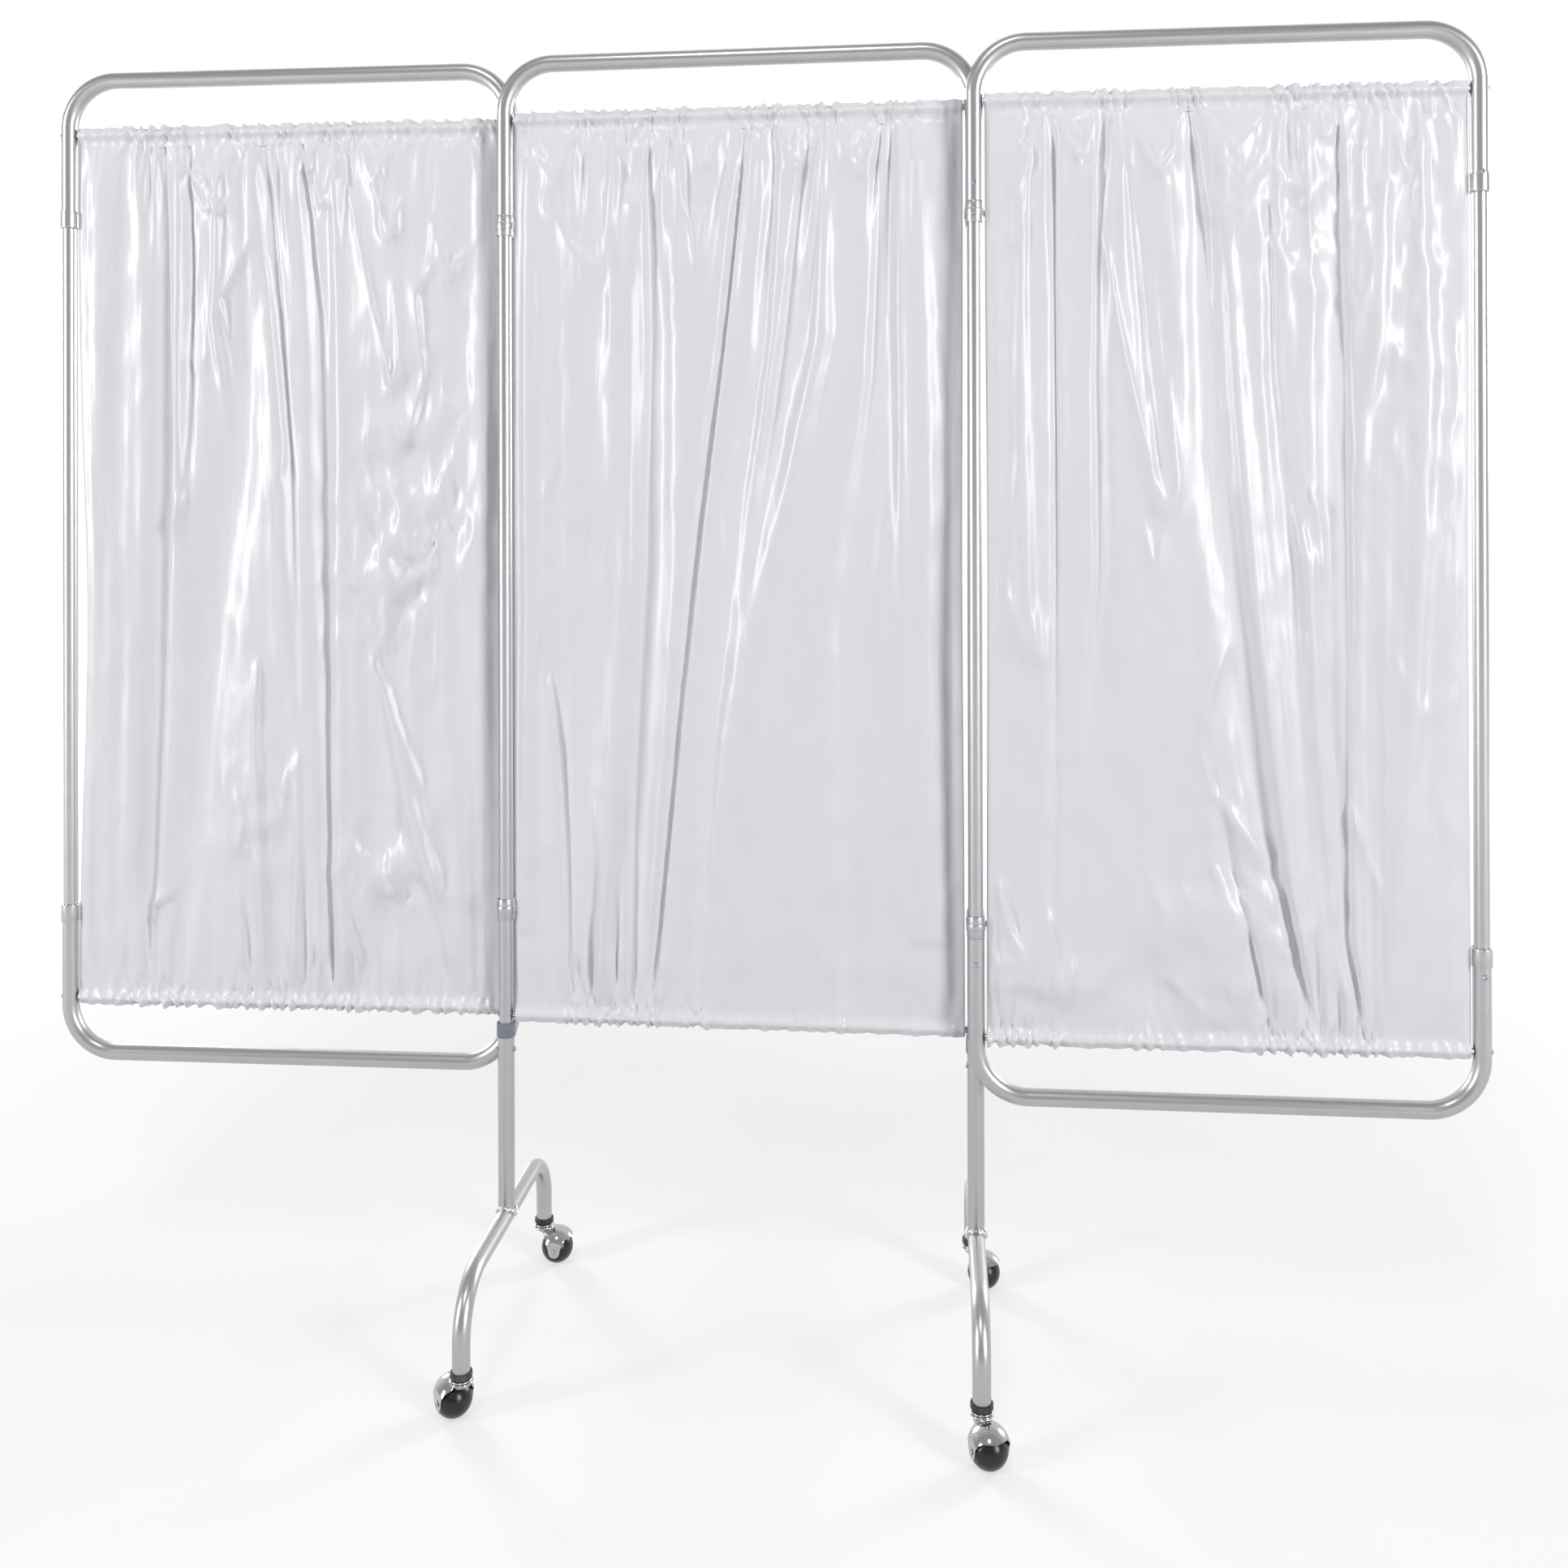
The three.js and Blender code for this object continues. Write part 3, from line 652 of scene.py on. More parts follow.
@dataclass
class ScreenPlan:
    """Sizes shared by the three frames and where each frame stands."""

    spacing: float = 632.0
    tube_radius: float = 11.1
    tube_wall: float = 1.3
    post_radius: float = 9.5
    post_wall: float = 1.2
    gap: float = 0.3
    bend_radius: float = 67.0
    bow_leg: float = 205.0
    insertion: float = 55.0
    top_rail: float = 1722.9
    bottom_rail: float = 358.0
    rod_offset: float = 76.0
    rod_radius: float = 4.5
    hinge_spacing: float = 24.6
    left_turn: float = math.radians(181.3)
    right_turn: float = math.radians(0.9)

    def __post_init__(self) -> None:
        """Works out the heights of the bows' open ends and of the curtain rods."""
        self.top_bow_end = self.top_rail - self.bow_leg
        self.bottom_bow_end = self.bottom_rail + self.bow_leg
        self.top_rod = self.top_rail - self.rod_offset
        self.bottom_rod = self.bottom_rail + self.rod_offset

    def frames(self) -> dict[str, tuple[Matrix, str]]:
        """Placement and body of each frame, by name; a frame starts at its first post."""
        return {
            "centre": (column("centre_left_post"), "centre_frame"),
            "left": (column("left_inner_post") @ turn(self.left_turn), "left_panel"),
            "right": (column("right_inner_post") @ turn(self.right_turn), "right_panel"),
        }

    def posts(self, first: str, last: str) -> tuple[tuple[str, float], ...]:
        """The two posts of a frame by name, with their places along it."""
        return (first, 0.0), (last, self.spacing)

    def rods(self, frame_name: str) -> tuple[tuple[str, float, float], ...]:
        """Level and height of a frame's curtain rods, and the radius of the tubes they end at."""
        # The centre frame's lower rod sits between the slim posts
        low_seat = self.post_radius if frame_name == "centre" else self.tube_radius
        return ("top", self.top_rod, self.tube_radius), ("bottom", self.bottom_rod, low_seat)

    def tube(
        self, name: str, points: Corners, across: tuple, slim: bool = False, sides: int = 40
    ) -> Piece:
        """Bends one tube, of the bows' size or as slim as a post.

        Args:
            name: name of the new piece.
            points: corners of its centreline.
            across: direction square to the bends.
            slim: whether it has the posts' size.
            sides: sides of its section.

        Returns:
            The tube.
        """
        size = (self.post_radius, self.post_wall) if slim else (self.tube_radius, self.tube_wall)
        route = Route(tuple(map(Vector, points)), self.bend_radius, Vector(across), sides)
        return Bench.bent_tube(name, route, *size)


@dataclass
class TubeWork:
    """Bows, posts and the collars over their joints."""

    plan: ScreenPlan
    collar_height: float = 24.0
    collar_wall: float = 1.1
    collar_lip: float = 2.0

    def bow(self) -> Piece:
        """Bends one bow with its rail at height zero and both legs hanging down."""
        end, span = -self.plan.bow_leg, self.plan.spacing
        corners = ((0, 0, end), (0, 0, 0), (span, 0, 0), (span, 0, end))
        return self.plan.tube("bow_master", corners, (0, 1, 0))

    def post(self, bottom: float, top: float) -> Piece:
        """Draws one straight post between two heights."""
        return self.plan.tube("post_master", ((0, 0, bottom), (0, 0, top)), (1, 0, 0), slim=True)

    def collar(self) -> Piece:
        """Turns one collar: a sleeve whose rounded lip closes in on the slimmer post."""
        gap = self.plan.gap
        inner = self.plan.tube_radius + gap
        outer = inner + self.collar_wall
        lip = self.plan.post_radius + gap
        bottom = -self.collar_lip - gap
        top = bottom + self.collar_height
        collar = Bench.turned("collar_master", [
            (lip, bottom), (outer, bottom, 1.5), (outer, top, 0.5), (inner, top), (inner, -gap),
            (lip, -gap), (lip, bottom),
        ], 48)
        write_grain(collar, local_places(collar))
        return collar

    def build(self) -> None:
        """Stands every bow, post and collar in its frame."""
        plan = self.plan
        bow, collar = self.bow(), self.collar()
        slid_in = plan.insertion
        panel_post = self.post(plan.bottom_bow_end - slid_in, plan.top_bow_end + slid_in)
        low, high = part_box("centre_left_post")
        centre_post = self.post(low.z / MM, high.z / MM)
        over = turn(math.pi, "X")
        for name, (place, body) in plan.frames().items():
            stood = [(bow, "top_bow", "tube", lift(plan.top_rail))]
            if name == "centre":
                for which, x in plan.posts("left", "right"):
                    stood.append((centre_post, f"{which}_post", "tube", slide(x)))
            else:
                stood.append((bow, "bottom_bow", "tube", lift(plan.bottom_rail) @ over))
                for which, x in plan.posts("inner", "outer"):
                    stood.append((panel_post, f"{which}_post", "tube", slide(x)))
                upper = slide(plan.spacing, 0, plan.top_bow_end)
                lower = slide(plan.spacing, 0, plan.bottom_bow_end) @ over
                stood.append((collar, "top_collar", "sleeve", upper))
                stood.append((collar, "bottom_collar", "sleeve", lower))
            for master, part, form, there in stood:
                node = f"{name}_{part}"
                ALUMINIUM.stand(master, f"{node}_{form}", place @ there, body, node)
        Bench.scrap(bow, collar, panel_post, centre_post)


@dataclass
class ScrewWork:
    """Small pan-head screws with a dark socket: frame locks, leg locks and rod ends."""

    plan: ScreenPlan
    head_radius: float = 3.4
    head_height: float = 2.2
    socket_radius: float = 1.1
    socket_depth: float = 1.6
    shank_radius: float = 1.7
    shank_length: float = 6.0
    lock_heights: tuple[float, float] = (1540.0, 530.0)
    leg_lock_height: float = 387.0

    def screw(self) -> Piece:
        """Turns one screw whose head sits on height zero and looks up Z."""
        top, socket = self.head_height, self.head_height - self.socket_depth
        return Bench.turned("screw_master", [
            (0, socket), (self.socket_radius, socket), (self.socket_radius, top, 0.2),
            (self.head_radius - 1.0, top, 0.6), (self.head_radius, top - 1.1, 0.5),
            (self.head_radius, 0), (self.shank_radius, 0), (self.shank_radius, -self.shank_length),
            (0, -self.shank_length),
        ], 24, 3)

    def build(self) -> None:
        """Sets the frame locks, the leg locks and the rod-end screws."""
        plan = self.plan
        screw = self.screw()
        to_front, to_left, to_right = turn(QUARTER, "X"), turn(-QUARTER, "Y"), turn(QUARTER, "Y")
        for name, (place, body) in plan.frames().items():
            for level, height, seat in plan.rods(name):
                ends = (("first", -seat, to_left), ("last", plan.spacing + seat, to_right))
                for which, x, aim in ends:
                    there = place @ slide(x, 0, height) @ aim
                    ZINC.stand(screw, f"{name}_{level}_rod_{which}_screw", there, body)
            if name == "centre":
                for side, x in plan.posts("left", "right"):
                    for which, aim, way in (("left", to_left, -1), ("right", to_right, 1)):
                        face = x + way * plan.tube_radius
                        there = place @ slide(face, 0, self.leg_lock_height) @ aim
                        ZINC.stand(screw, f"{side}_leg_{which}_screw", there, body)
                continue
            for level, height in zip(("top", "bottom"), self.lock_heights):
                for which, x in plan.posts("inner", "outer"):
                    there = place @ slide(x, -plan.tube_radius, height) @ to_front
                    ZINC.stand(screw, f"{name}_{which}_{level}_lock_screw", there, body)
        Bench.scrap(screw)


@dataclass
class Stand:
    """The two arched feet with their legs, weld beads and leg collars."""

    plan: ScreenPlan
    leg_top: float = 420.0
    reach: float = 190.0
    rail_height: float = 163.0
    end_height: float = 62.0
    saddle_sides: int = 64
    collar_height: float = 19.0
    collar_wall: float = 1.3
    collar_lip: float = 3.0
    bead_radius: float = 3.3
    bead_lump: float = 0.9
    bead_lift: float = 0.6
    bead_ripples: int = 22
    ripple_height: float = 0.35
    lump_pitch: float = 0.35

    def foot(self) -> Piece:
        """Bends one foot from its front end to its rear end."""
        reach, end, rail = self.reach, self.end_height, self.rail_height
        corners = ((0, -reach, end), (0, -reach, rail), (0, reach, rail), (0, reach, end))
        return self.plan.tube("foot_master", corners, (1, 0, 0))

    def leg(self) -> Piece:
        """Draws one leg and cuts its lower end to sit on the foot."""
        corners = ((0, 0, self.rail_height), (0, 0, self.leg_top))
        leg = self.plan.tube("leg_master", corners, (1, 0, 0), sides=self.saddle_sides)
        Bench.clear()
        bpy.ops.mesh.primitive_cylinder_add(
            vertices=self.saddle_sides,
            radius=(self.plan.tube_radius + self.plan.gap) * MM,
            depth=self.plan.spacing * MM / 2,
            location=(0, 0, self.rail_height * MM),
            rotation=(QUARTER, 0, 0),
        )
        Bench.combine(leg, "DIFFERENCE", Bench.named("saddle"))
        return leg

    def bead(self) -> Piece:
        """Lays the weld round the foot of the leg: a ring bent to the saddle, with lumps."""
        Bench.clear()
        bpy.ops.mesh.primitive_torus_add(
            major_segments=120,
            minor_segments=14,
            major_radius=(self.plan.tube_radius + self.plan.gap) * MM,
            minor_radius=self.bead_radius * MM,
            location=(0, 0, 0),
        )
        bead = Bench.named("bead_master")
        for vertex in bead.data.vertices:
            place = vertex.co / MM
            angle = math.atan2(place.y, place.x)
            ripples = self.ripple_height * math.sin(self.bead_ripples * angle)
            lumps = ripples + noise.noise(place * self.lump_pitch)
            place += vertex.normal * self.bead_lump * lumps
            drop = self.plan.tube_radius * abs(math.sin(angle)) + self.bead_lift
            vertex.co = (place + Vector((0, 0, self.rail_height + drop))) * MM
        return bead

    def collar(self) -> Piece:
        """Turns the plastic bush that caps a leg, about height zero at the leg's top."""
        gap = self.plan.gap
        inner = self.plan.tube_radius + gap
        outer = inner + self.collar_wall
        top = gap + self.collar_lip
        bottom = top - self.collar_height
        bore = self.plan.post_radius + gap
        return Bench.turned("leg_collar_master", [
            (inner, bottom), (outer - 0.7, bottom, 0.4), (outer, bottom + 1.4, 0.8),
            (outer, top, 0.9), (bore, top), (bore, gap), (inner, gap), (inner, bottom),
        ], 48)

    def build(self) -> None:
        """Stands both feet and legs."""
        foot, leg, bead, collar = self.foot(), self.leg(), self.bead(), self.collar()
        for side in Side:
            name, body = side.value, "centre_frame"
            place = column(f"centre_{name}_post")
            ALUMINIUM.stand(foot, f"{name}_foot_tube", place, body, f"{name}_foot")
            ALUMINIUM.stand(leg, f"{name}_leg_tube", place, body, f"{name}_leg")
            FRESH_WELD.stand(bead, f"{name}_weld_bead", place, body)
            top = place @ lift(self.leg_top)
            GREY_PLASTIC.stand(collar, f"{name}_leg_bush", top, body, f"{name}_leg_collar")
        Bench.scrap(foot, leg, bead, collar)


@dataclass
class HingeWork:
    """Figure-eight clips round two posts, each with its screw, spacer and cap."""

    plan: ScreenPlan
    run: float = 0.5
    band: float = 1.4
    height: float = 28.0
    rib_height: float = 9.0
    rib_rise: float = 0.8
    waist: float = 15.6
    waist_inset: float = 0.2
    screw_radius: float = 2.0
    head_radius: float = 3.6
    head_height: float = 3.0
    recess_radius: float = 1.1
    recess_depth: float = 1.2
    spacer_length: float = 5.2
    spacer_radius: float = 3.4
    spacer_groove: float = 2.9
    cap_radius: float = 4.2
    cap_height: float = 2.4

    def upright(self, radius: float, height: float, x: float) -> Piece:
        """An upright cylinder with softened rims, for joining and cutting."""
        end = height / 2
        corners = [(0, -end), (radius, -end, 0.35), (radius, end, 0.35), (0, end)]
        made = Bench.turned("upright", corners, 64, 2)
        made.data.transform(slide(x))
        return made

    def clip(self) -> Piece:
        """Shapes one clip: two bands, a raised middle rib and a pinched waist."""
        bore = self.plan.post_radius + self.run
        outer = bore + self.band
        spacing = self.plan.hinge_spacing
        clip = self.upright(outer, self.height, 0)
        clip.name = "clip_master"
        Bench.combine(clip, "UNION", self.upright(outer, self.height, spacing))
        end = self.height / 2 - self.waist_inset
        waist = [(0, -end), (spacing, -end), (spacing, end), (0, end)]
        Bench.combine(clip, "UNION", Bench.plate("waist", waist, self.waist))
        for x in (0, spacing):
            Bench.combine(clip, "UNION", self.upright(outer + self.rib_rise, self.rib_height, x))
        for x in (0, spacing):
            Bench.combine(clip, "DIFFERENCE", self.upright(bore, 2 * self.height, x))
        write_grain(clip, local_places(clip)[:, [2, 1, 0]])
        return clip

    def hardware(self) -> dict[str, Piece]:
        """Turns the screw, the brass spacer and the cap nut along Y through the waist's middle."""
        face = self.waist / 2 + self.plan.gap
        head = -face - self.head_height
        recess = head + self.recess_depth
        far = face + self.spacer_length
        cap_end = far + self.cap_height
        recess_radius, radius, shank = self.recess_radius, self.head_radius, self.screw_radius
        bore, rim, groove = shank + 0.1, self.spacer_radius, self.spacer_groove
        outlines = {
            "screw": [
                (0, recess), (recess_radius, recess), (recess_radius, head, 0.2),
                (radius - 0.9, head, 0.6), (radius, recess, 0.6), (radius, -face), (shank, -face),
                (shank, far - 0.1), (0, far - 0.1),
            ],
            "spacer": [
                (bore, face), (rim, face, 0.3), (rim, face + 1.6, 0.2), (groove, face + 2.2, 0.2),
                (rim, face + 2.9, 0.2), (rim, far, 0.3), (bore, far), (bore, face),
            ],
            "cap": [
                (0, far), (self.cap_radius, far, 0.3), (self.cap_radius, cap_end, 1.2),
                (0, cap_end),
            ],
        }
        middle = slide(self.plan.hinge_spacing / 2) @ turn(-QUARTER, "X")
        made = {}
        for part, corners in outlines.items():
            made[part] = Bench.turned(f"{part}_master", corners, 32, 3)
            made[part].data.transform(middle)
        return made

    def build(self) -> None:
        """Clamps two clips on each side."""
        clip, parts = self.clip(), self.hardware()
        finishes = {"screw": NICKEL, "spacer": BRASS, "cap": NICKEL}
        for side, angle in ((Side.LEFT, QUARTER), (Side.RIGHT, -QUARTER)):
            post = column(f"centre_{side.value}_post") @ turn(angle)
            body = f"{side.value}_clips"
            for level in Level:
                node = f"{side.value}_{level.value}_clip"
                place = post @ Matrix.Translation((0, 0, spot(node).z))
                ALUMINIUM.stand(clip, f"{node}_band", place, body, node)
                for part, master in parts.items():
                    stands_for = [f"{node}_screw"] if part == "screw" else []
                    finishes[part].stand(master, f"{node}_{part}_turned", place, body, *stands_for)
        Bench.scrap(clip, *parts.values())


@dataclass
class CasterWork:
    """Ball casters: socket, races, pressed hood, axle and ball.

    The hood's edge is given on both sides of its ears in shares of the ball's radius, and each
    caster's swivel in degrees, in the order of the corners.
    """

    plan: ScreenPlan
    trail: float = 20.0
    ball_flat: float = 20.3
    hood_reach: float = 27.8
    hood_side: float = 24.8
    ear_flat: float = 21.1
    hood_wall: float = 1.2
    ear_tip: float = 8.2
    neck_radius: float = 10.8
    table_radius: float = 14.8
    table_height: float = 2.8
    neck_height: float = 13.0
    race_radius: float = 14.0
    race_height: float = 2.6
    stem_radius: float = 4.0
    stem_length: float = 26.0
    stem_head_radius: float = 5.2
    stem_head_height: float = 1.3
    rivet_radius: float = 2.5
    rivet_head: float = 3.8
    rivet_height: float = 1.3
    socket_radius: float = 13.8
    socket_height: float = 7.4
    socket_rim: float = 3.2
    plug_length: float = 24.0
    foot_end: float = 62.0
    edge_clearance: float = 0.55
    cut_floor: float = -50.0
    cut_depth: float = 80.0
    press_voxel: float = 0.55
    stem_edge: Rows = (
        (-1.6, 1.12), (-1.3, 1.11), (-1.12, 1.09), (-0.98, 1.06), (-0.86, 1.0), (-0.78, 0.93),
        (-0.72, 0.84), (-0.65, 0.76), (-0.58, 0.68), (-0.52, 0.56), (-0.46, 0.41), (-0.4, 0.24),
    )
    lip_edge: Rows = (
        (0.41, 0.22), (0.5, 0.41), (0.55, 0.55), (0.62, 0.66), (0.72, 0.72), (0.86, 0.75),
        (1.1, 0.77), (1.6, 0.78),
    )
    swivels: tuple[float, ...] = (135.0, -68.0, 0.0, -35.0)

    def __post_init__(self) -> None:
        """Works out the heights of the axle, the socket, the turntable and the hood's seat."""
        gap = self.plan.gap
        self.axle_height = spot("front_left_wheel").z / MM
        self.socket_bottom = self.foot_end - gap - (self.socket_height - self.socket_rim)
        self.table_top = self.socket_bottom - 2 * gap - self.race_height
        self.table_under = self.table_top - self.table_height
        self.hub = slide(self.trail, 0, self.axle_height)

    def socket(self) -> Piece:
        """Turns the black socket with its rim round the tube and its plug inside it."""
        plan = self.plan
        seat = self.foot_end - plan.gap
        plug = plan.tube_radius - plan.tube_wall - plan.gap
        hole, tube = self.stem_radius + plan.gap, plan.tube_radius + plan.gap
        bottom, rim, end = self.socket_bottom, seat + self.socket_rim, seat + self.plug_length
        return Bench.turned("socket_master", [
            (hole, bottom), (self.socket_radius, bottom, 2.0), (self.socket_radius, rim, 1.2),
            (tube, rim), (tube, seat), (plug, seat), (plug, end), (hole, end), (hole, bottom),
        ], 48)

    def stem(self) -> Piece:
        """Turns the fixed stem with the bright upper race."""
        top = self.socket_bottom - self.plan.gap
        bottom = top - self.race_height
        head_top = bottom - self.table_height - 2 * self.plan.gap
        head_end, end = head_top - self.stem_head_height, top + self.stem_length
        head, race, stem = self.stem_head_radius, self.race_radius, self.stem_radius
        return Bench.turned("stem_master", [
            (0, head_end), (head, head_end, 0.5), (head, head_top, 0.3), (stem, head_top),
            (stem, bottom), (race, bottom, 1.2), (race, top, 1.2), (stem, top), (stem, end, 0.4),
            (0, end),
        ], 48)

    def dome(self, name: str, wall: float, segments: int) -> Piece:
        """A ball drawn out fore and aft, with its two sides sliced flat, thicker by a wall."""
        reach, side = self.hood_reach + wall, self.hood_side + wall
        Bench.clear()
        bpy.ops.mesh.primitive_uv_sphere_add(
            segments=segments,
            ring_count=segments // 2,
            radius=reach * MM,
            rotation=(QUARTER, 0, 0),
            location=(0, 0, 0),
        )
        dome = Bench.named(name)
        dome.data.transform(Matrix.Diagonal((1, side / reach, 1, 1)))
        bpy.ops.object.mode_set(mode="EDIT")
        for way in (-1, 1):
            bpy.ops.mesh.select_all(action="SELECT")
            bpy.ops.mesh.bisect(
                plane_co=(0, way * (self.ear_flat + wall) * MM, 0),
                plane_no=(0, way, 0),
                use_fill=True,
                clear_outer=True,
            )
        Bench.close_up()
        dome.data.transform(self.hub)
        return dome

    def neck(self) -> Piece:
        """Turns the flared neck and turntable that the dome hangs from."""
        under, top = self.table_under, self.table_top
        return Bench.turned("neck", [
            (0, under - self.neck_height), (self.neck_radius, under - self.neck_height),
            (self.neck_radius + 0.3, under - 4.2, 3.0), (self.table_radius - 1.6, under - 0.4, 1.8),
            (self.table_radius, under + 0.6, 0.4), (self.table_radius, top, 1.2), (0, top),
        ], 64)

    def opening(self) -> Piece:
        """All that the hood leaves open below its wavy edge, on both sides of its ears."""
        radius = self.axle_height + self.edge_clearance
        tip = [
            (self.ear_tip * math.cos(angle), self.ear_tip * math.sin(angle))
            for angle in (math.pi + math.pi * k / 16 for k in range(17))
        ]
        edge, lip = (
            [(x * radius, z * radius) for x, z in line] for line in (self.stem_edge, self.lip_edge)
        )
        floor = [(lip[-1][0], self.cut_floor), (edge[0][0], self.cut_floor)]
        outline = [(x + self.trail, z + self.axle_height) for x, z in (*edge, *tip, *lip, *floor)]
        return Bench.plate("opening", outline, self.cut_depth)

    def hood(self) -> Piece:
        """Presses one hood: dome and neck flow together, then it is hollowed and trimmed."""
        gap, half = self.plan.gap, self.cut_depth / 2
        hood = self.dome("hood_master", self.hood_wall, 96)
        Bench.combine(hood, "UNION", self.neck())
        Bench.modify(hood, "REMESH", mode="VOXEL", voxel_size=self.press_voxel * MM)
        Bench.modify(hood, "SMOOTH", factor=0.5, iterations=4)
        Bench.combine(hood, "DIFFERENCE", self.dome("hollow", 0.0, 64), self.opening())
        for name, radius, bottom, top, place in (
            ("bore", self.stem_radius, 0, 2 * self.table_top, lift(0)),
            ("seat", self.stem_head_radius, 0, self.table_under, lift(0)),
            ("hole", self.rivet_radius, -half, half, self.hub @ turn(QUARTER, "X")),
        ):
            corners = [(0, bottom), (radius + gap, bottom), (radius + gap, top), (0, top)]
            cutter = Bench.turned(name, corners, 48)
            cutter.data.transform(place)
            Bench.combine(hood, "DIFFERENCE", cutter)
        return hood

    def axle(self) -> Piece:
        """Turns the rivet that holds the ball, with a domed head at each ear."""
        seat = self.ear_flat + self.hood_wall + self.plan.gap
        end = seat + self.rivet_height
        half = [
            (self.rivet_radius, seat, 0), (self.rivet_head, seat, 0.2),
            (self.rivet_head - 0.4, end - 0.2, 0.8), (1.2, end, 0.3), (0.8, end - 0.5, 0.2),
            (0, end - 0.5, 0),
        ]
        lower = [(x, -z, size) for x, z, size in reversed(half)]
        rivet = Bench.turned("axle_master", lower + half, 32, 3)
        rivet.data.transform(self.hub @ turn(QUARTER, "X"))
        return rivet

    def ball(self) -> Piece:
        """Turns the ball with its bore and flat sides."""
        radius, flat = self.axle_height, self.ball_flat
        bore = self.rivet_radius + self.plan.gap
        side = math.asin(flat / radius)
        arc = [(radius * math.cos(a), radius * math.sin(a)) for a in np.linspace(-side, side, 33)]
        ball = Bench.turned("ball_master", [(bore, -flat), *arc, (bore, flat), (bore, -flat)], 64)
        ball.data.transform(self.hub @ turn(QUARTER, "X"))
        return ball

    def build(self) -> None:
        """Sets a caster in each end of the feet."""
        socket, stem, hood = self.socket(), self.stem(), self.hood()
        axle, ball = self.axle(), self.ball()
        for corner, degrees in zip(Corner, self.swivels):
            name = corner.value
            place = column(f"{name}_stem")
            swung = place @ turn(math.radians(degrees))
            fixed, swivel = "centre_frame", f"{name}_swivel"
            BLACK_PLASTIC.stand(socket, f"{name}_socket_ring", place, fixed, f"{name}_socket")
            NICKEL.stand(stem, f"{name}_stem_race", place, fixed, f"{name}_stem")
            NICKEL.stand(hood, f"{name}_hood_press", swung, swivel, f"{name}_hood")
            ZINC.stand(axle, f"{name}_axle_rivet", swung, swivel, f"{name}_axle")
            BALL.stand(ball, f"{name}_ball_turned", swung, f"{name}_ball", f"{name}_wheel")
        Bench.scrap(socket, stem, hood, axle, ball)


@dataclass(frozen=True)
class Spread:
    """A sheet as a grid of points: shares across and down, with its width and drop."""

    across: Grid
    down: Grid
    width: float
    drop: float


@dataclass(frozen=True)
class Fold:
    """One fold of a curtain, as the viewer sees it.

    Each station gives its place across and down, from 0 at the left and at the top to 1, and the
    fold's width and depth in millimetres there; a negative depth falls back. Lean makes the right
    (positive) or left wall steep, as the ridge beside a valley hangs over it.
    """

    stations: tuple[tuple[float, float, float, float], ...]
    lean: float = 0.0

    def offsets(self, spread: Spread) -> tuple[Grid, Grid]:
        """How far the fold moves each point towards the viewer and to the right."""
        places, levels, widths, depths = zip(*self.stations)
        middle = np.interp(spread.down, levels, places) * spread.width
        size = np.interp(spread.down, levels, widths)
        depth = np.interp(spread.down, levels, depths, left=0, right=0)
        away = spread.across * spread.width - middle
        steeper = STEEPENING * self.lean
        wall = np.where(away > 0, size * (1 - steeper), size * (1 + steeper))
        shape = depth * np.exp(-((away / wall) ** 2))
        return shape, -OVERHANG * self.lean * shape


@dataclass(frozen=True)
class Tongue:
    """A hanging fold with a rounded lower end, where slack cloth bellies out."""

    place: float
    top: float
    bottom: float
    width: float
    rise: float
    slant: float = 0.0

    def offset(self, spread: Spread) -> Grid:
        """How far the fold moves each point towards the viewer."""
        grown = np.clip((spread.down - self.top) / (self.bottom - self.top), 0, 1)
        half = self.width * (0.3 + 0.7 * grown ** 1.5)
        x = (spread.across - self.place - self.slant * grown) * spread.width
        below = np.maximum(0, (spread.down - self.bottom) * spread.drop)
        reach = np.sqrt(x ** 2 + (0.7 * below) ** 2)
        rim = np.exp(-np.abs(reach - 0.8 * half) / (0.22 * half))
        belly = np.exp(-((reach / half) ** 2))
        shape = 0.6 * rim * grown ** 1.6 + 0.45 * belly * grown
        return self.rise * shape * (spread.down > self.top)


@dataclass(frozen=True)
class Crease:
    """A sharp crease along a line of points; places run from 0 to 1, width and rise are in mm."""

    points: tuple[tuple[float, float], ...]
    rise: float
    width: float

    def offset(self, spread: Spread) -> Grid:
        """How far the crease moves each point towards the viewer: steeper on its right side."""
        x, z = spread.across * spread.width, spread.down * spread.drop
        nearest, side, share = np.full(x.shape, 1e9), np.ones(x.shape), np.zeros(x.shape)
        for i, ((x0, z0), (x1, z1)) in enumerate(zip(self.points, self.points[1:])):
            start = (x0 * spread.width, z0 * spread.drop)
            run = ((x1 - x0) * spread.width, (z1 - z0) * spread.drop)
            length = run[0] ** 2 + run[1] ** 2
            t = np.clip(((x - start[0]) * run[0] + (z - start[1]) * run[1]) / length, 0, 1)
            away_x, away_z = x - start[0] - t * run[0], z - start[1] - t * run[1]
            distance = np.hypot(away_x, away_z)
            closer = distance < nearest
            nearest = np.where(closer, distance, nearest)
            side = np.where(closer, np.sign(run[0] * away_z - run[1] * away_x), side)
            share = np.where(closer, (i + t) / (len(self.points) - 1), share)
        reach = self.width * np.where(side > 0, 1.5, 0.55)
        fade = 0.35 + 0.65 * np.sin(math.pi * np.clip(share, 0.02, 0.98)) ** 0.6
        return 2.2 * self.rise * fade * np.exp(-nearest / reach)


@dataclass(frozen=True)
class Gather:
    """A cluster of pleats on a rod: its start and end, pitch, depth and reach along the sheet."""

    start: float
    end: float
    pitch: float
    depth: float
    reach: float


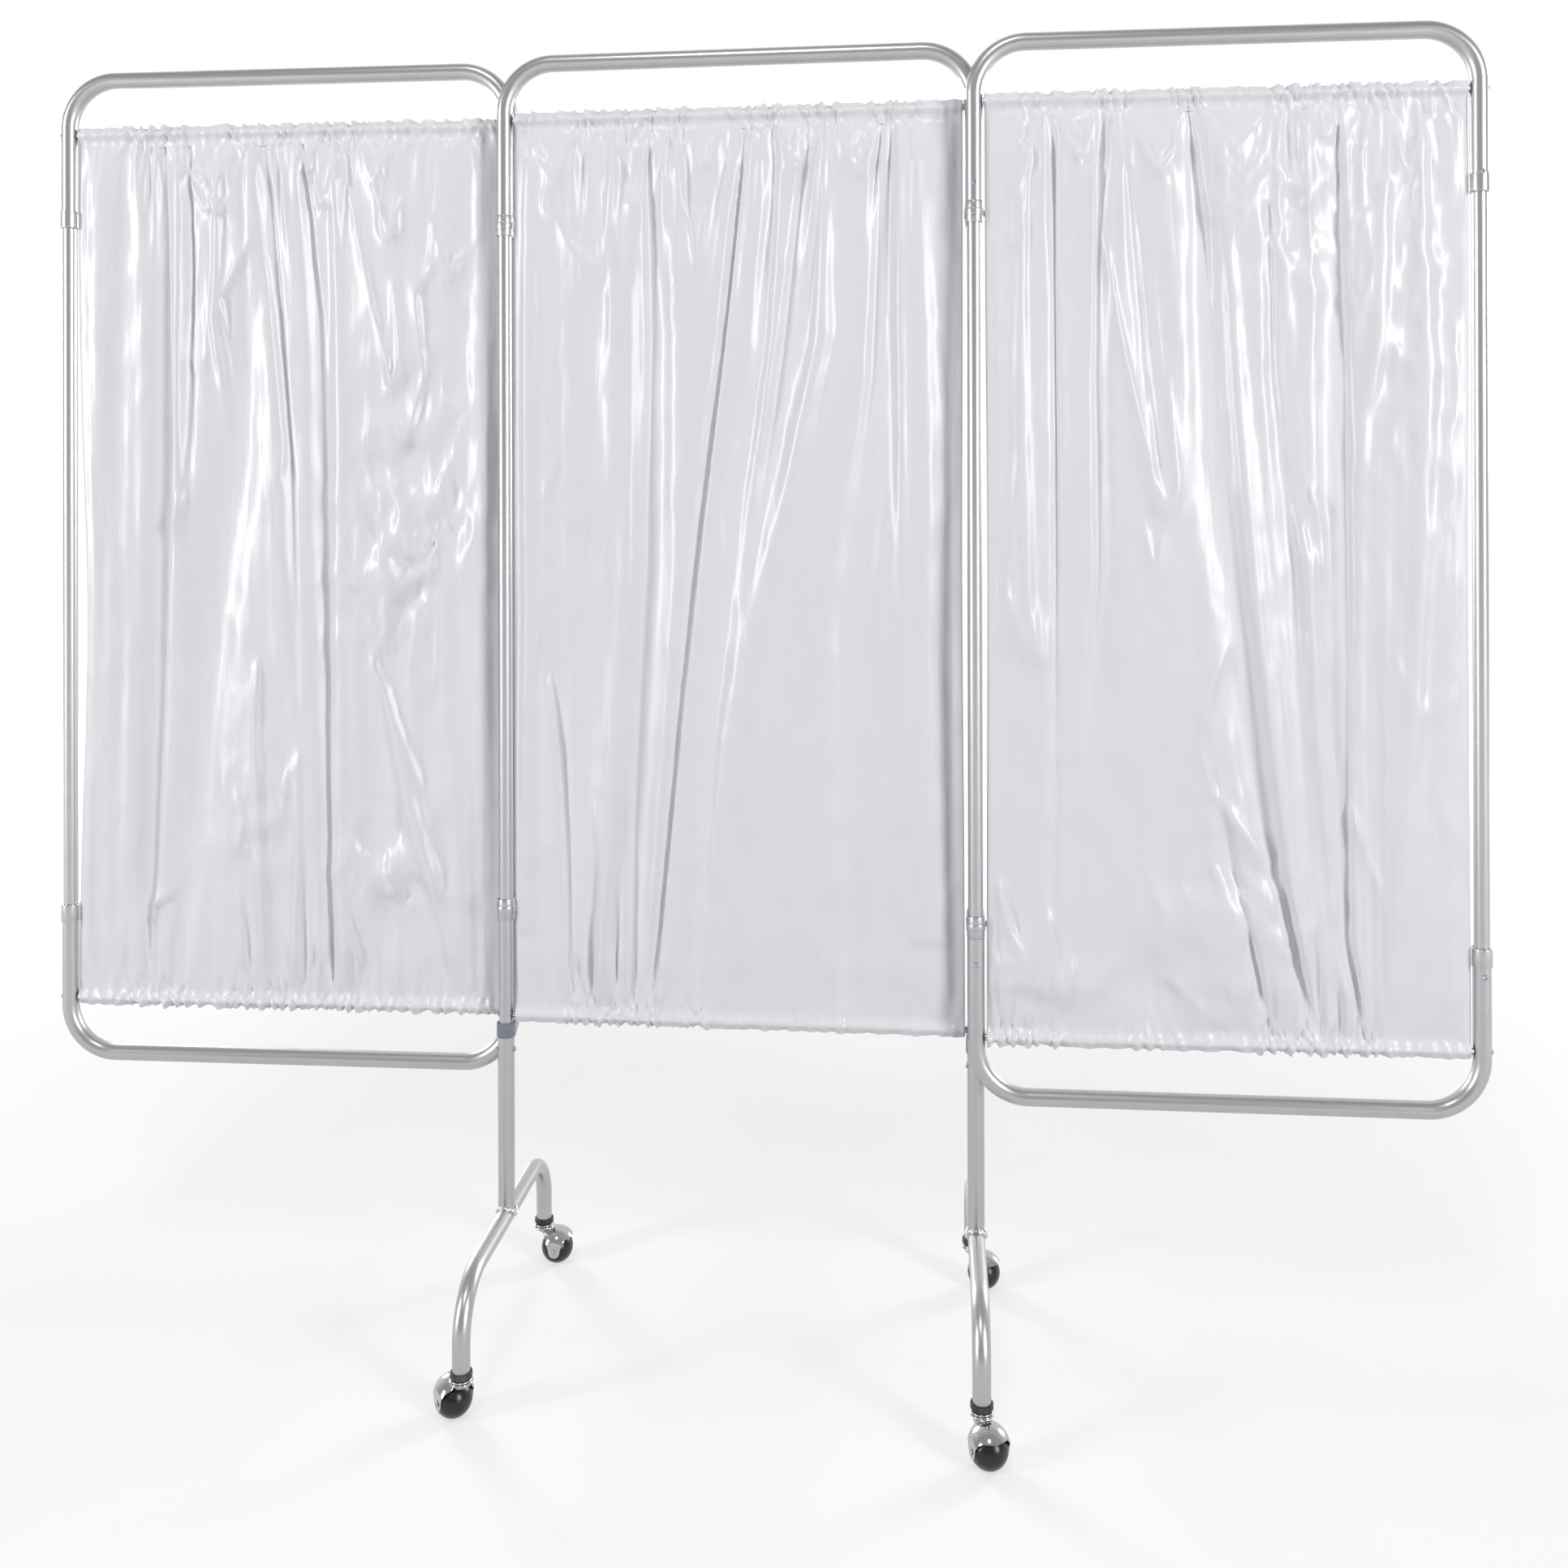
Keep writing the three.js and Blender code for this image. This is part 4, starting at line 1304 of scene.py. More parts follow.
@dataclass(frozen=True)
class Patch:
    """A soft-edged area of the sheet: its middle, its reach across and down, and its strength."""

    across: float
    down: float
    wide: float
    long: float
    strength: float

    @staticmethod
    def cover(patches: Iterable["Patch"], spread: Spread) -> Grid | int:
        """Summed strength of patches at each point."""
        return sum(
            patch.strength * np.exp(-(
                ((spread.across - patch.across) / patch.wide) ** 2
                + ((spread.down - patch.down) / patch.long) ** 2
            )) for patch in patches
        )


@dataclass(frozen=True)
class Cloth:
    """One curtain's own folds; facing is 1 where its frame's -Y looks at the viewer.

    Pull gives lines of pull as places at the top and at the bottom. The deepest fold reaches the
    fold limit in mm; the right one is shallower, so the folded screen's curtains stay apart.
    """

    name: str
    facing: int
    seed: int
    pull: tuple[tuple[float, float], ...]
    folds: tuple[Fold, ...]
    puffs: tuple[Tongue | Crease, ...]
    top: tuple[Gather, ...]
    bottom: tuple[Gather, ...]
    calm: tuple[Patch, ...]
    crumples: tuple[Patch, ...]
    draw_left: float = 2.0
    draw_right: float = 2.0
    draw_place: float = 0.5
    fold_limit: float = 13.5


def ripple(seed: int, x: Grid, y: Grid) -> Grid:
    """Smooth seeded waves over a plane, roughly from -1 to 1, about one unit long."""
    angles = np.random.default_rng(seed).uniform(0, FULL_TURN, (RIPPLE_CELLS, RIPPLE_CELLS))
    column_at, row_at = np.floor(x).astype(int), np.floor(y).astype(int)
    near_x, near_y = x - column_at, y - row_at
    blend_x = near_x ** 2 * (3 - 2 * near_x)
    blend_y = near_y ** 2 * (3 - 2 * near_y)

    def pull(i: int, j: int) -> Grid:
        """Slope of one lattice corner at each place."""
        angle = angles[(column_at + i) % RIPPLE_CELLS, (row_at + j) % RIPPLE_CELLS]
        return np.cos(angle) * (near_x - i) + np.sin(angle) * (near_y - j)

    low = pull(0, 0) * (1 - blend_x) + pull(1, 0) * blend_x
    high = pull(0, 1) * (1 - blend_x) + pull(1, 1) * blend_x
    return RIPPLE_HEIGHT * (low * (1 - blend_y) + high * blend_y)


@dataclass
class CurtainWork:
    """The three shirred vinyl curtains and their rods.

    Each wave has its height and its length across and down in mm, and so has each crumple. The
    loose pleats fill a rod between its gathers. The seam and the side edges hold the folds back
    near them to a share of their depth, and a ruffle stands up over each pocket.
    """

    plan: ScreenPlan
    edge_gap: float = 2.9
    sheet: float = 0.5
    pocket_half: float = 5.7
    pocket_reach: float = 6.4
    slack: float = 0.55
    head: float = 8.5
    skirt: float = 17.0
    hem_allowance: float = 3.0
    pocket_rows: int = 13
    body_rows: int = 150
    columns: int = 240
    depth: float = 1.45
    forward: float = 2.5
    fullness: float = 1.12
    row_power: float = 1.15
    row_sway: float = 0.05
    waves: Rows = ((3.6, 88, 620), (2.4, 41, 420), (1.0, 19, 260))
    crumples: Rows = ((7.5, 74, 104), (2.6, 36, 50))
    crumple_sharpness: float = 2.2
    crumple_floor: float = -0.2
    crumple_base: float = 0.12
    crumple_limit: float = 1.2
    wander: float = 16.0
    wander_length: float = 90.0
    loose: Gather = Gather(0.0, 1.0, 15, 0.3, 0)
    pleat_limit: float = 1.3
    pleat_span: Span = (-40, 20)
    pleat_sizes: Span = (0.22, 0.4)
    pleat_depths: Span = (0.5, 1.3)
    pleat_steps: Span = (0.3, 0.62)
    pleat_slant: float = 0.35
    slant_root: float = 6.0
    bunching: float = 0.55
    fine_root: Span = (2.4, 0.8)
    fine_profile: Rows = ((0.3, 4.6, 1), (0.6, 7.0, 0.6), (1, 12.0, 0.0))
    fine_reaches: Span = (0.3, 1.0)
    fine_depths: Span = (1.6, 4.2)
    fine_leans: Span = (-0.6, 0.6)
    fine_steps: Span = (0.7, 1.4)
    fine_wander: float = 0.02
    swag_count: int = 3
    swag_depths: Span = (0.25, 1.1)
    swag_middles: Span = (0.35, 0.65)
    swag_rises: Span = (1.0, 2.2)
    swag_widths: Span = (4, 8)
    seam_ease: float = 7.0
    crest_ease: float = 4.0
    rod_pleat: float = 4.2
    rod_dent: float = 0.06
    crest_pleat: float = 3.4
    seam_pleat: float = 2.6
    pleat_fade: float = 30.0
    seam_reach: float = 70.0
    seam_share: float = 0.22
    side_reach: float = 0.025
    side_share: float = 0.2
    ruffle_start: float = 3.0
    ruffle_span: float = 6.0
    ruffle_pleat: float = 2.1
    ruffle_wave: float = 1.4
    ruffle_length: float = 23.0
    draw_reach: float = 0.22
    draw_width: float = 0.07

    def __post_init__(self) -> None:
        """Works out a hung curtain's width and drop."""
        self.width = self.plan.spacing - 2 * (self.plan.tube_radius + self.edge_gap)
        self.drop = self.plan.top_rod - self.plan.bottom_rod + 2 * self.head

    def rod(self, name: str, place: Matrix, height: float, seat: float, body: str) -> str:
        """Turns one curtain rod with softened ends.

        Args:
            name: the CAD node that it stands for.
            place: where its frame stands.
            height: its height over the floor.
            seat: radius of the tubes that it ends at.
            body: the body that it rides on.

        Returns:
            The piece's name.
        """
        gap, radius = self.plan.gap, self.plan.rod_radius
        length = self.plan.spacing - 2 * (seat + gap)
        corners = [(0, 0), (radius, 0, 0.5), (radius, length, 0.5), (0, length)]
        rod = Bench.turned(f"{name}_bar", corners, 32, 3)
        rod.data.transform(place @ slide(seat + gap, 0, height) @ turn(QUARTER, "Y"))
        NICKEL.dress(rod, body, name)
        return rod.name

    def section(self) -> tuple[Grid, Grid, Grid]:
        """One upright section of the sheet, from the back hem over the top rod to the lower hem.

        Returns:
            Heights, stand-off towards the viewer, and which layer of the sheet each row is in.
        """
        steps = np.linspace(-self.skirt - self.hem_allowance, self.head, self.pocket_rows)
        fullest = self.pocket_half - self.slack
        bulge = self.slack + fullest * np.exp(-((steps / self.pocket_reach) ** 2))
        cap = np.linspace(0, math.pi, 5)[1:-1]
        cap_height = self.head + bulge[-1] * np.sin(cap)
        front = steps >= -self.skirt
        top_heights = np.concatenate([steps, cap_height, steps[front][::-1]])
        top_off = np.concatenate([-bulge, -bulge[-1] * np.cos(cap), bulge[front][::-1]])
        layers = np.repeat([BACK, CREST, FRONT], [len(steps), len(cap), front.sum()])
        ease = np.linspace(0, 1, self.body_rows + 2)[1:-1]
        ease = ease ** self.row_power - self.row_sway * np.sin(FULL_TURN * ease)
        top, bottom = self.plan.top_rod - self.skirt, self.plan.bottom_rod + self.skirt
        heights = np.concatenate([
            self.plan.top_rod + top_heights, top + (bottom - top) * ease,
            self.plan.bottom_rod - top_heights[::-1],
        ])
        offs = np.concatenate([top_off, np.full(len(ease), self.slack), top_off[::-1]])
        return heights, offs, np.concatenate([layers, np.full(len(ease), BODY), layers[::-1]])

    def pleats(self, gathers: Sequence[Gather], across: Grid, away: Grid, seed: int) -> Grid:
        """Tight slanted pleats on a rod, about -1 to 1.

        Args:
            gathers: where the cloth is bunched.
            across: place of each point across the curtain.
            away: height of each point over the rod, towards the edge.
            seed: seed of the spread.

        Returns:
            Stand-off of each point in shares of the pleats' depth.
        """
        rng = np.random.default_rng(seed)
        total = np.zeros_like(across)
        for gather in (*gathers, self.loose):
            place, sign = gather.start * self.width, 1
            while place < gather.end * self.width:
                size = gather.pitch * rng.uniform(*self.pleat_sizes)
                slant = rng.normal(0, self.pleat_slant) * (away + self.slant_root)
                depth = gather.depth * rng.uniform(*self.pleat_depths) * sign
                total += depth * np.exp(-(((across * self.width - place - slant) / size) ** 2))
                sign = -sign
                place += gather.pitch * rng.uniform(*self.pleat_steps)
        return self.pleat_limit * np.tanh(total / self.pleat_limit)

    def fine_folds(self, cloth: Cloth, from_top: bool, seed: int) -> list[Fold]:
        """Fine folds that run out of a rod's gathers into the body, along the lines of pull."""
        rng = np.random.default_rng(seed)
        tops, bottoms = zip(*cloth.pull)
        near, far = (tops, bottoms) if from_top else (bottoms, tops)
        folds = []
        for gather in cloth.top if from_top else cloth.bottom:
            place, middle = gather.start, (gather.start + gather.end) / 2
            while place < gather.end:
                reach = gather.reach * rng.uniform(*self.fine_reaches)
                aim = np.interp(place, near, far) + rng.normal(0, self.fine_wander)
                # Two of three fine folds stand forward
                sign = rng.choice([-1, 1, 1])
                depth = rng.uniform(*self.fine_depths) * gather.depth * sign
                width, share = self.fine_root
                bunched = middle + self.bunching * (place - middle)
                stations = [(bunched, 0.0, width, share * depth)]
                for k, width, share in self.fine_profile:
                    there = place + (aim - place) * reach * k
                    stations.append((there, reach * k, width, share * depth))
                if not from_top:
                    stations = [(x, 1 - y, *rest) for x, y, *rest in reversed(stations)]
                folds.append(Fold(tuple(stations), rng.uniform(*self.fine_leans)))
                place += gather.pitch / self.width * rng.uniform(*self.fine_steps)
        return folds

    def swags(self, cloth: Cloth) -> list[Crease]:
        """Creases that hang in shallow curves from one bunch on the top rod to the next."""
        rng = np.random.default_rng(cloth.seed + 7)
        made = []
        for left, right in zip(cloth.top, cloth.top[1:]):
            start, end = left.end - 0.01, right.start + 0.01
            for _ in range(self.swag_count):
                low = 0.03 + rng.uniform(*self.swag_depths) * (end - start) * 0.5
                middle = start + (end - start) * rng.uniform(*self.swag_middles)
                quarter = 0.25 * (end - start)
                curve = (
                    (start, 0.02), (middle - quarter, 0.75 * low), (middle, low),
                    (middle + quarter, 0.7 * low), (end, 0.02),
                )
                rise, width = rng.uniform(*self.swag_rises), rng.uniform(*self.swag_widths)
                made.append(Crease(curve, rise, width))
        return made

    def drape(self, cloth: Cloth, spread: Spread) -> Grid:
        """Random drapes along the lines of pull, and crumples where the cloth has them."""
        tops, bottoms = (np.array(ends) for ends in zip(*cloth.pull))
        along = np.empty_like(spread.across)
        for i, share in enumerate(spread.down[:, 0]):
            along[i] = np.interp(spread.across[i], tops + (bottoms - tops) * share, tops)
        x, z = along * self.width, spread.down * self.drop
        seed = cloth.seed * 10
        drapes = sum(
            height * ripple(seed + k, x / wide, z / long)
            for k, (height, wide, long) in enumerate(self.waves)
        )
        calm = 1 - np.clip(Patch.cover(cloth.calm, spread), 0, 1)
        x = spread.across * self.width
        wander = self.wander * ripple(seed + 3, x / self.wander_length, z / self.wander_length)
        creases = 0
        for k, (height, wide, long) in enumerate(self.crumples):
            bent = ripple(seed + 4 + k, (x + wander) / wide, (z - wander) / long)
            ridge = 1 - np.abs(self.crumple_sharpness * bent)
            creases = creases + height * np.maximum(self.crumple_floor, ridge)
            wander = -wander
        crumpled = self.crumple_base + Patch.cover(cloth.crumples, spread)
        crumpled = np.clip(crumpled, 0, self.crumple_limit)
        return calm * drapes + crumpled * creases

    def edge(self, away: Grid, layer: Grid, pleat: Grid) -> Grid:
        """Stand-off of the pleats near one rod: stitched at the seam, outward only on the rod."""
        to_seam = np.clip((-away - self.seam_ease) / (self.skirt - self.seam_ease), 0, 1)
        to_crest = np.clip((away - self.crest_ease) / (self.head - self.crest_ease), 0, 1)
        # A pleat that falls back would pass through the rod, so it is almost flat there
        outward = self.rod_pleat * np.maximum(pleat, -self.rod_dent) * np.sign(layer)
        together = np.where(away > 0, self.crest_pleat, self.seam_pleat) * pleat
        blend = np.maximum(to_seam, to_crest)
        pocket = outward * (1 - blend) + together * blend
        hem = np.where(layer == CREST, self.crest_pleat * pleat, pocket)
        below_seam = np.maximum(0, -away - self.skirt)
        into = self.seam_pleat * pleat * np.exp(-below_seam / self.pleat_fade)
        return np.where(layer == BODY, into, hem)

    def ruffle(self, away: Grid, pleat: Grid, x: Grid, seed: int) -> Grid:
        """How far the pleats and slow waves lift the free edge over one rod."""
        grown = np.clip((away - self.ruffle_start) / self.ruffle_span, 0, 1)
        slow = ripple(seed, x / self.ruffle_length, x * 0)
        return grown * (self.ruffle_pleat * pleat + self.ruffle_wave * slow)

    def body(self, cloth: Cloth, spread: Spread) -> tuple[Grid, Grid]:
        """How far all of a curtain's folds move each point towards the viewer and to the right."""
        folds = [*cloth.folds, *self.fine_folds(cloth, True, cloth.seed)]
        folds += self.fine_folds(cloth, False, cloth.seed + 1)
        waves, aside = np.zeros_like(spread.across), np.zeros_like(spread.across)
        for fold in folds:
            towards, sideways = fold.offsets(spread)
            waves += towards
            aside += sideways
        waves += sum(shape.offset(spread) for shape in (*cloth.puffs, *self.swags(cloth)))
        waves += self.drape(cloth, spread)
        limit = cloth.fold_limit
        return self.forward + limit * np.tanh(self.depth * waves / limit), aside

    def hang(self, cloth: Cloth, place: Matrix) -> Piece:
        """Hangs one curtain.

        Args:
            cloth: its folds, puffs and gathers.
            place: where its frame stands.

        Returns:
            The finished sheet.
        """
        heights, offs, layers = self.section()
        across, height = np.meshgrid(np.linspace(0, 1, self.columns), heights)
        top_rod, bottom_rod = self.plan.top_rod, self.plan.bottom_rod
        down = np.clip((top_rod + self.head - height) / self.drop, 0, 1)
        layer, off = (np.repeat(line[:, None], self.columns, axis=1) for line in (layers, offs))
        over_seam = np.minimum(top_rod - height, height - bottom_rod) - self.skirt
        held = np.clip(over_seam / self.seam_reach + self.seam_share, 0, 1)
        free = np.where(layer == BODY, held, 0)
        to_side = np.minimum(across, 1 - across)
        edge_fade = np.clip(to_side / self.side_reach, self.side_share, 1)
        waves, aside = self.body(cloth, Spread(across, down, self.width, self.drop))
        off += waves * free * edge_fade
        x = self.plan.tube_radius + self.edge_gap + across * self.width + aside * free * edge_fade
        for rod, way, gathers, seed in (
            (top_rod, 1, cloth.top, cloth.seed + 3),
            (bottom_rod, -1, cloth.bottom, cloth.seed + 4),
        ):
            away = (height - rod) * way
            near = away > -self.drop / 2
            pleat = self.pleats(gathers, across, np.clip(away, *self.pleat_span), seed)
            off += np.where(near, self.edge(away, layer, pleat), 0)
            raised = self.ruffle(away, pleat, x, seed)
            height = height + way * np.where(near & (layer != BODY), raised, 0)
        pinch = np.exp(-(((down - cloth.draw_place) / self.draw_reach) ** 2))
        left, right = np.exp(-across / self.draw_width), np.exp((across - 1) / self.draw_width)
        x += pinch * (cloth.draw_left * left - cloth.draw_right * right)
        return self.sew(cloth, place, x, off, height)

    def sew(self, cloth: Cloth, place: Matrix, x: Grid, off: Grid, height: Grid) -> Piece:
        """Makes the sheet's mesh from its grid and gives it its thickness.

        Args:
            cloth: names the sheet and says which way it faces.
            place: where its frame stands.
            x: places across the frame as the viewer sees them.
            off: stand-off towards the viewer.
            height: heights over the floor.

        Returns:
            The closed sheet.
        """
        local_x = x if cloth.facing > 0 else self.plan.spacing - x
        points = np.stack([local_x, -cloth.facing * off, height], axis=-1) * MM
        rows, columns = x.shape
        grid = np.arange(rows * columns).reshape(rows, columns)
        quads = np.stack([grid[:-1, :-1], grid[1:, :-1], grid[1:, 1:], grid[:-1, 1:]], axis=-1)
        mesh = bpy.data.meshes.new(f"{cloth.name}_vinyl")
        mesh.from_pydata(points.reshape(-1, 3).tolist(), [], quads.reshape(-1, 4).tolist())
        self.lay_out(mesh, points)
        mesh.transform(place)
        sheet = bpy.data.objects.new(f"{cloth.name}_vinyl", mesh)
        bpy.context.scene.collection.objects.link(sheet)
        Bench.modify(sheet, "SOLIDIFY", thickness=self.sheet * MM, offset=-1)
        Bench.take(sheet)
        bpy.ops.object.shade_smooth()
        return sheet

    def lay_out(self, mesh: bpy.types.Mesh, points: Grid) -> None:
        """Writes the cut's flat coordinates, in metres, as the UV map."""
        steps = np.linalg.norm(np.diff(points, axis=0), axis=2).mean(axis=1)
        along = np.concatenate([[0], steps.cumsum()])
        u, v = np.meshgrid(np.linspace(0, self.width * self.fullness * MM, self.columns), along)
        flat = np.stack([u, v], axis=-1).reshape(-1, 2)
        layer = mesh.uv_layers.new(name="cut")
        corners = np.zeros(len(mesh.loops), dtype=np.int32)
        mesh.loops.foreach_get("vertex_index", corners)
        layer.data.foreach_set("uv", flat[corners].astype(np.float32).ravel())

    def build(self) -> None:
        """Hangs every curtain on its two rods."""
        plan = self.plan
        length = 2 * (2 * self.head + self.skirt + 2 * self.hem_allowance)
        length += plan.top_rod - plan.bottom_rod
        frames = plan.frames()
        for cloth in CLOTHS:
            place, body = frames[cloth.name]
            bars = [
                self.rod(f"{cloth.name}_{level}_rod", place, height, seat, body)
                for level, height, seat in plan.rods(cloth.name)
            ]
            sheet = self.hang(cloth, place)
            VINYL.dress(sheet, body, f"{cloth.name}_curtain")


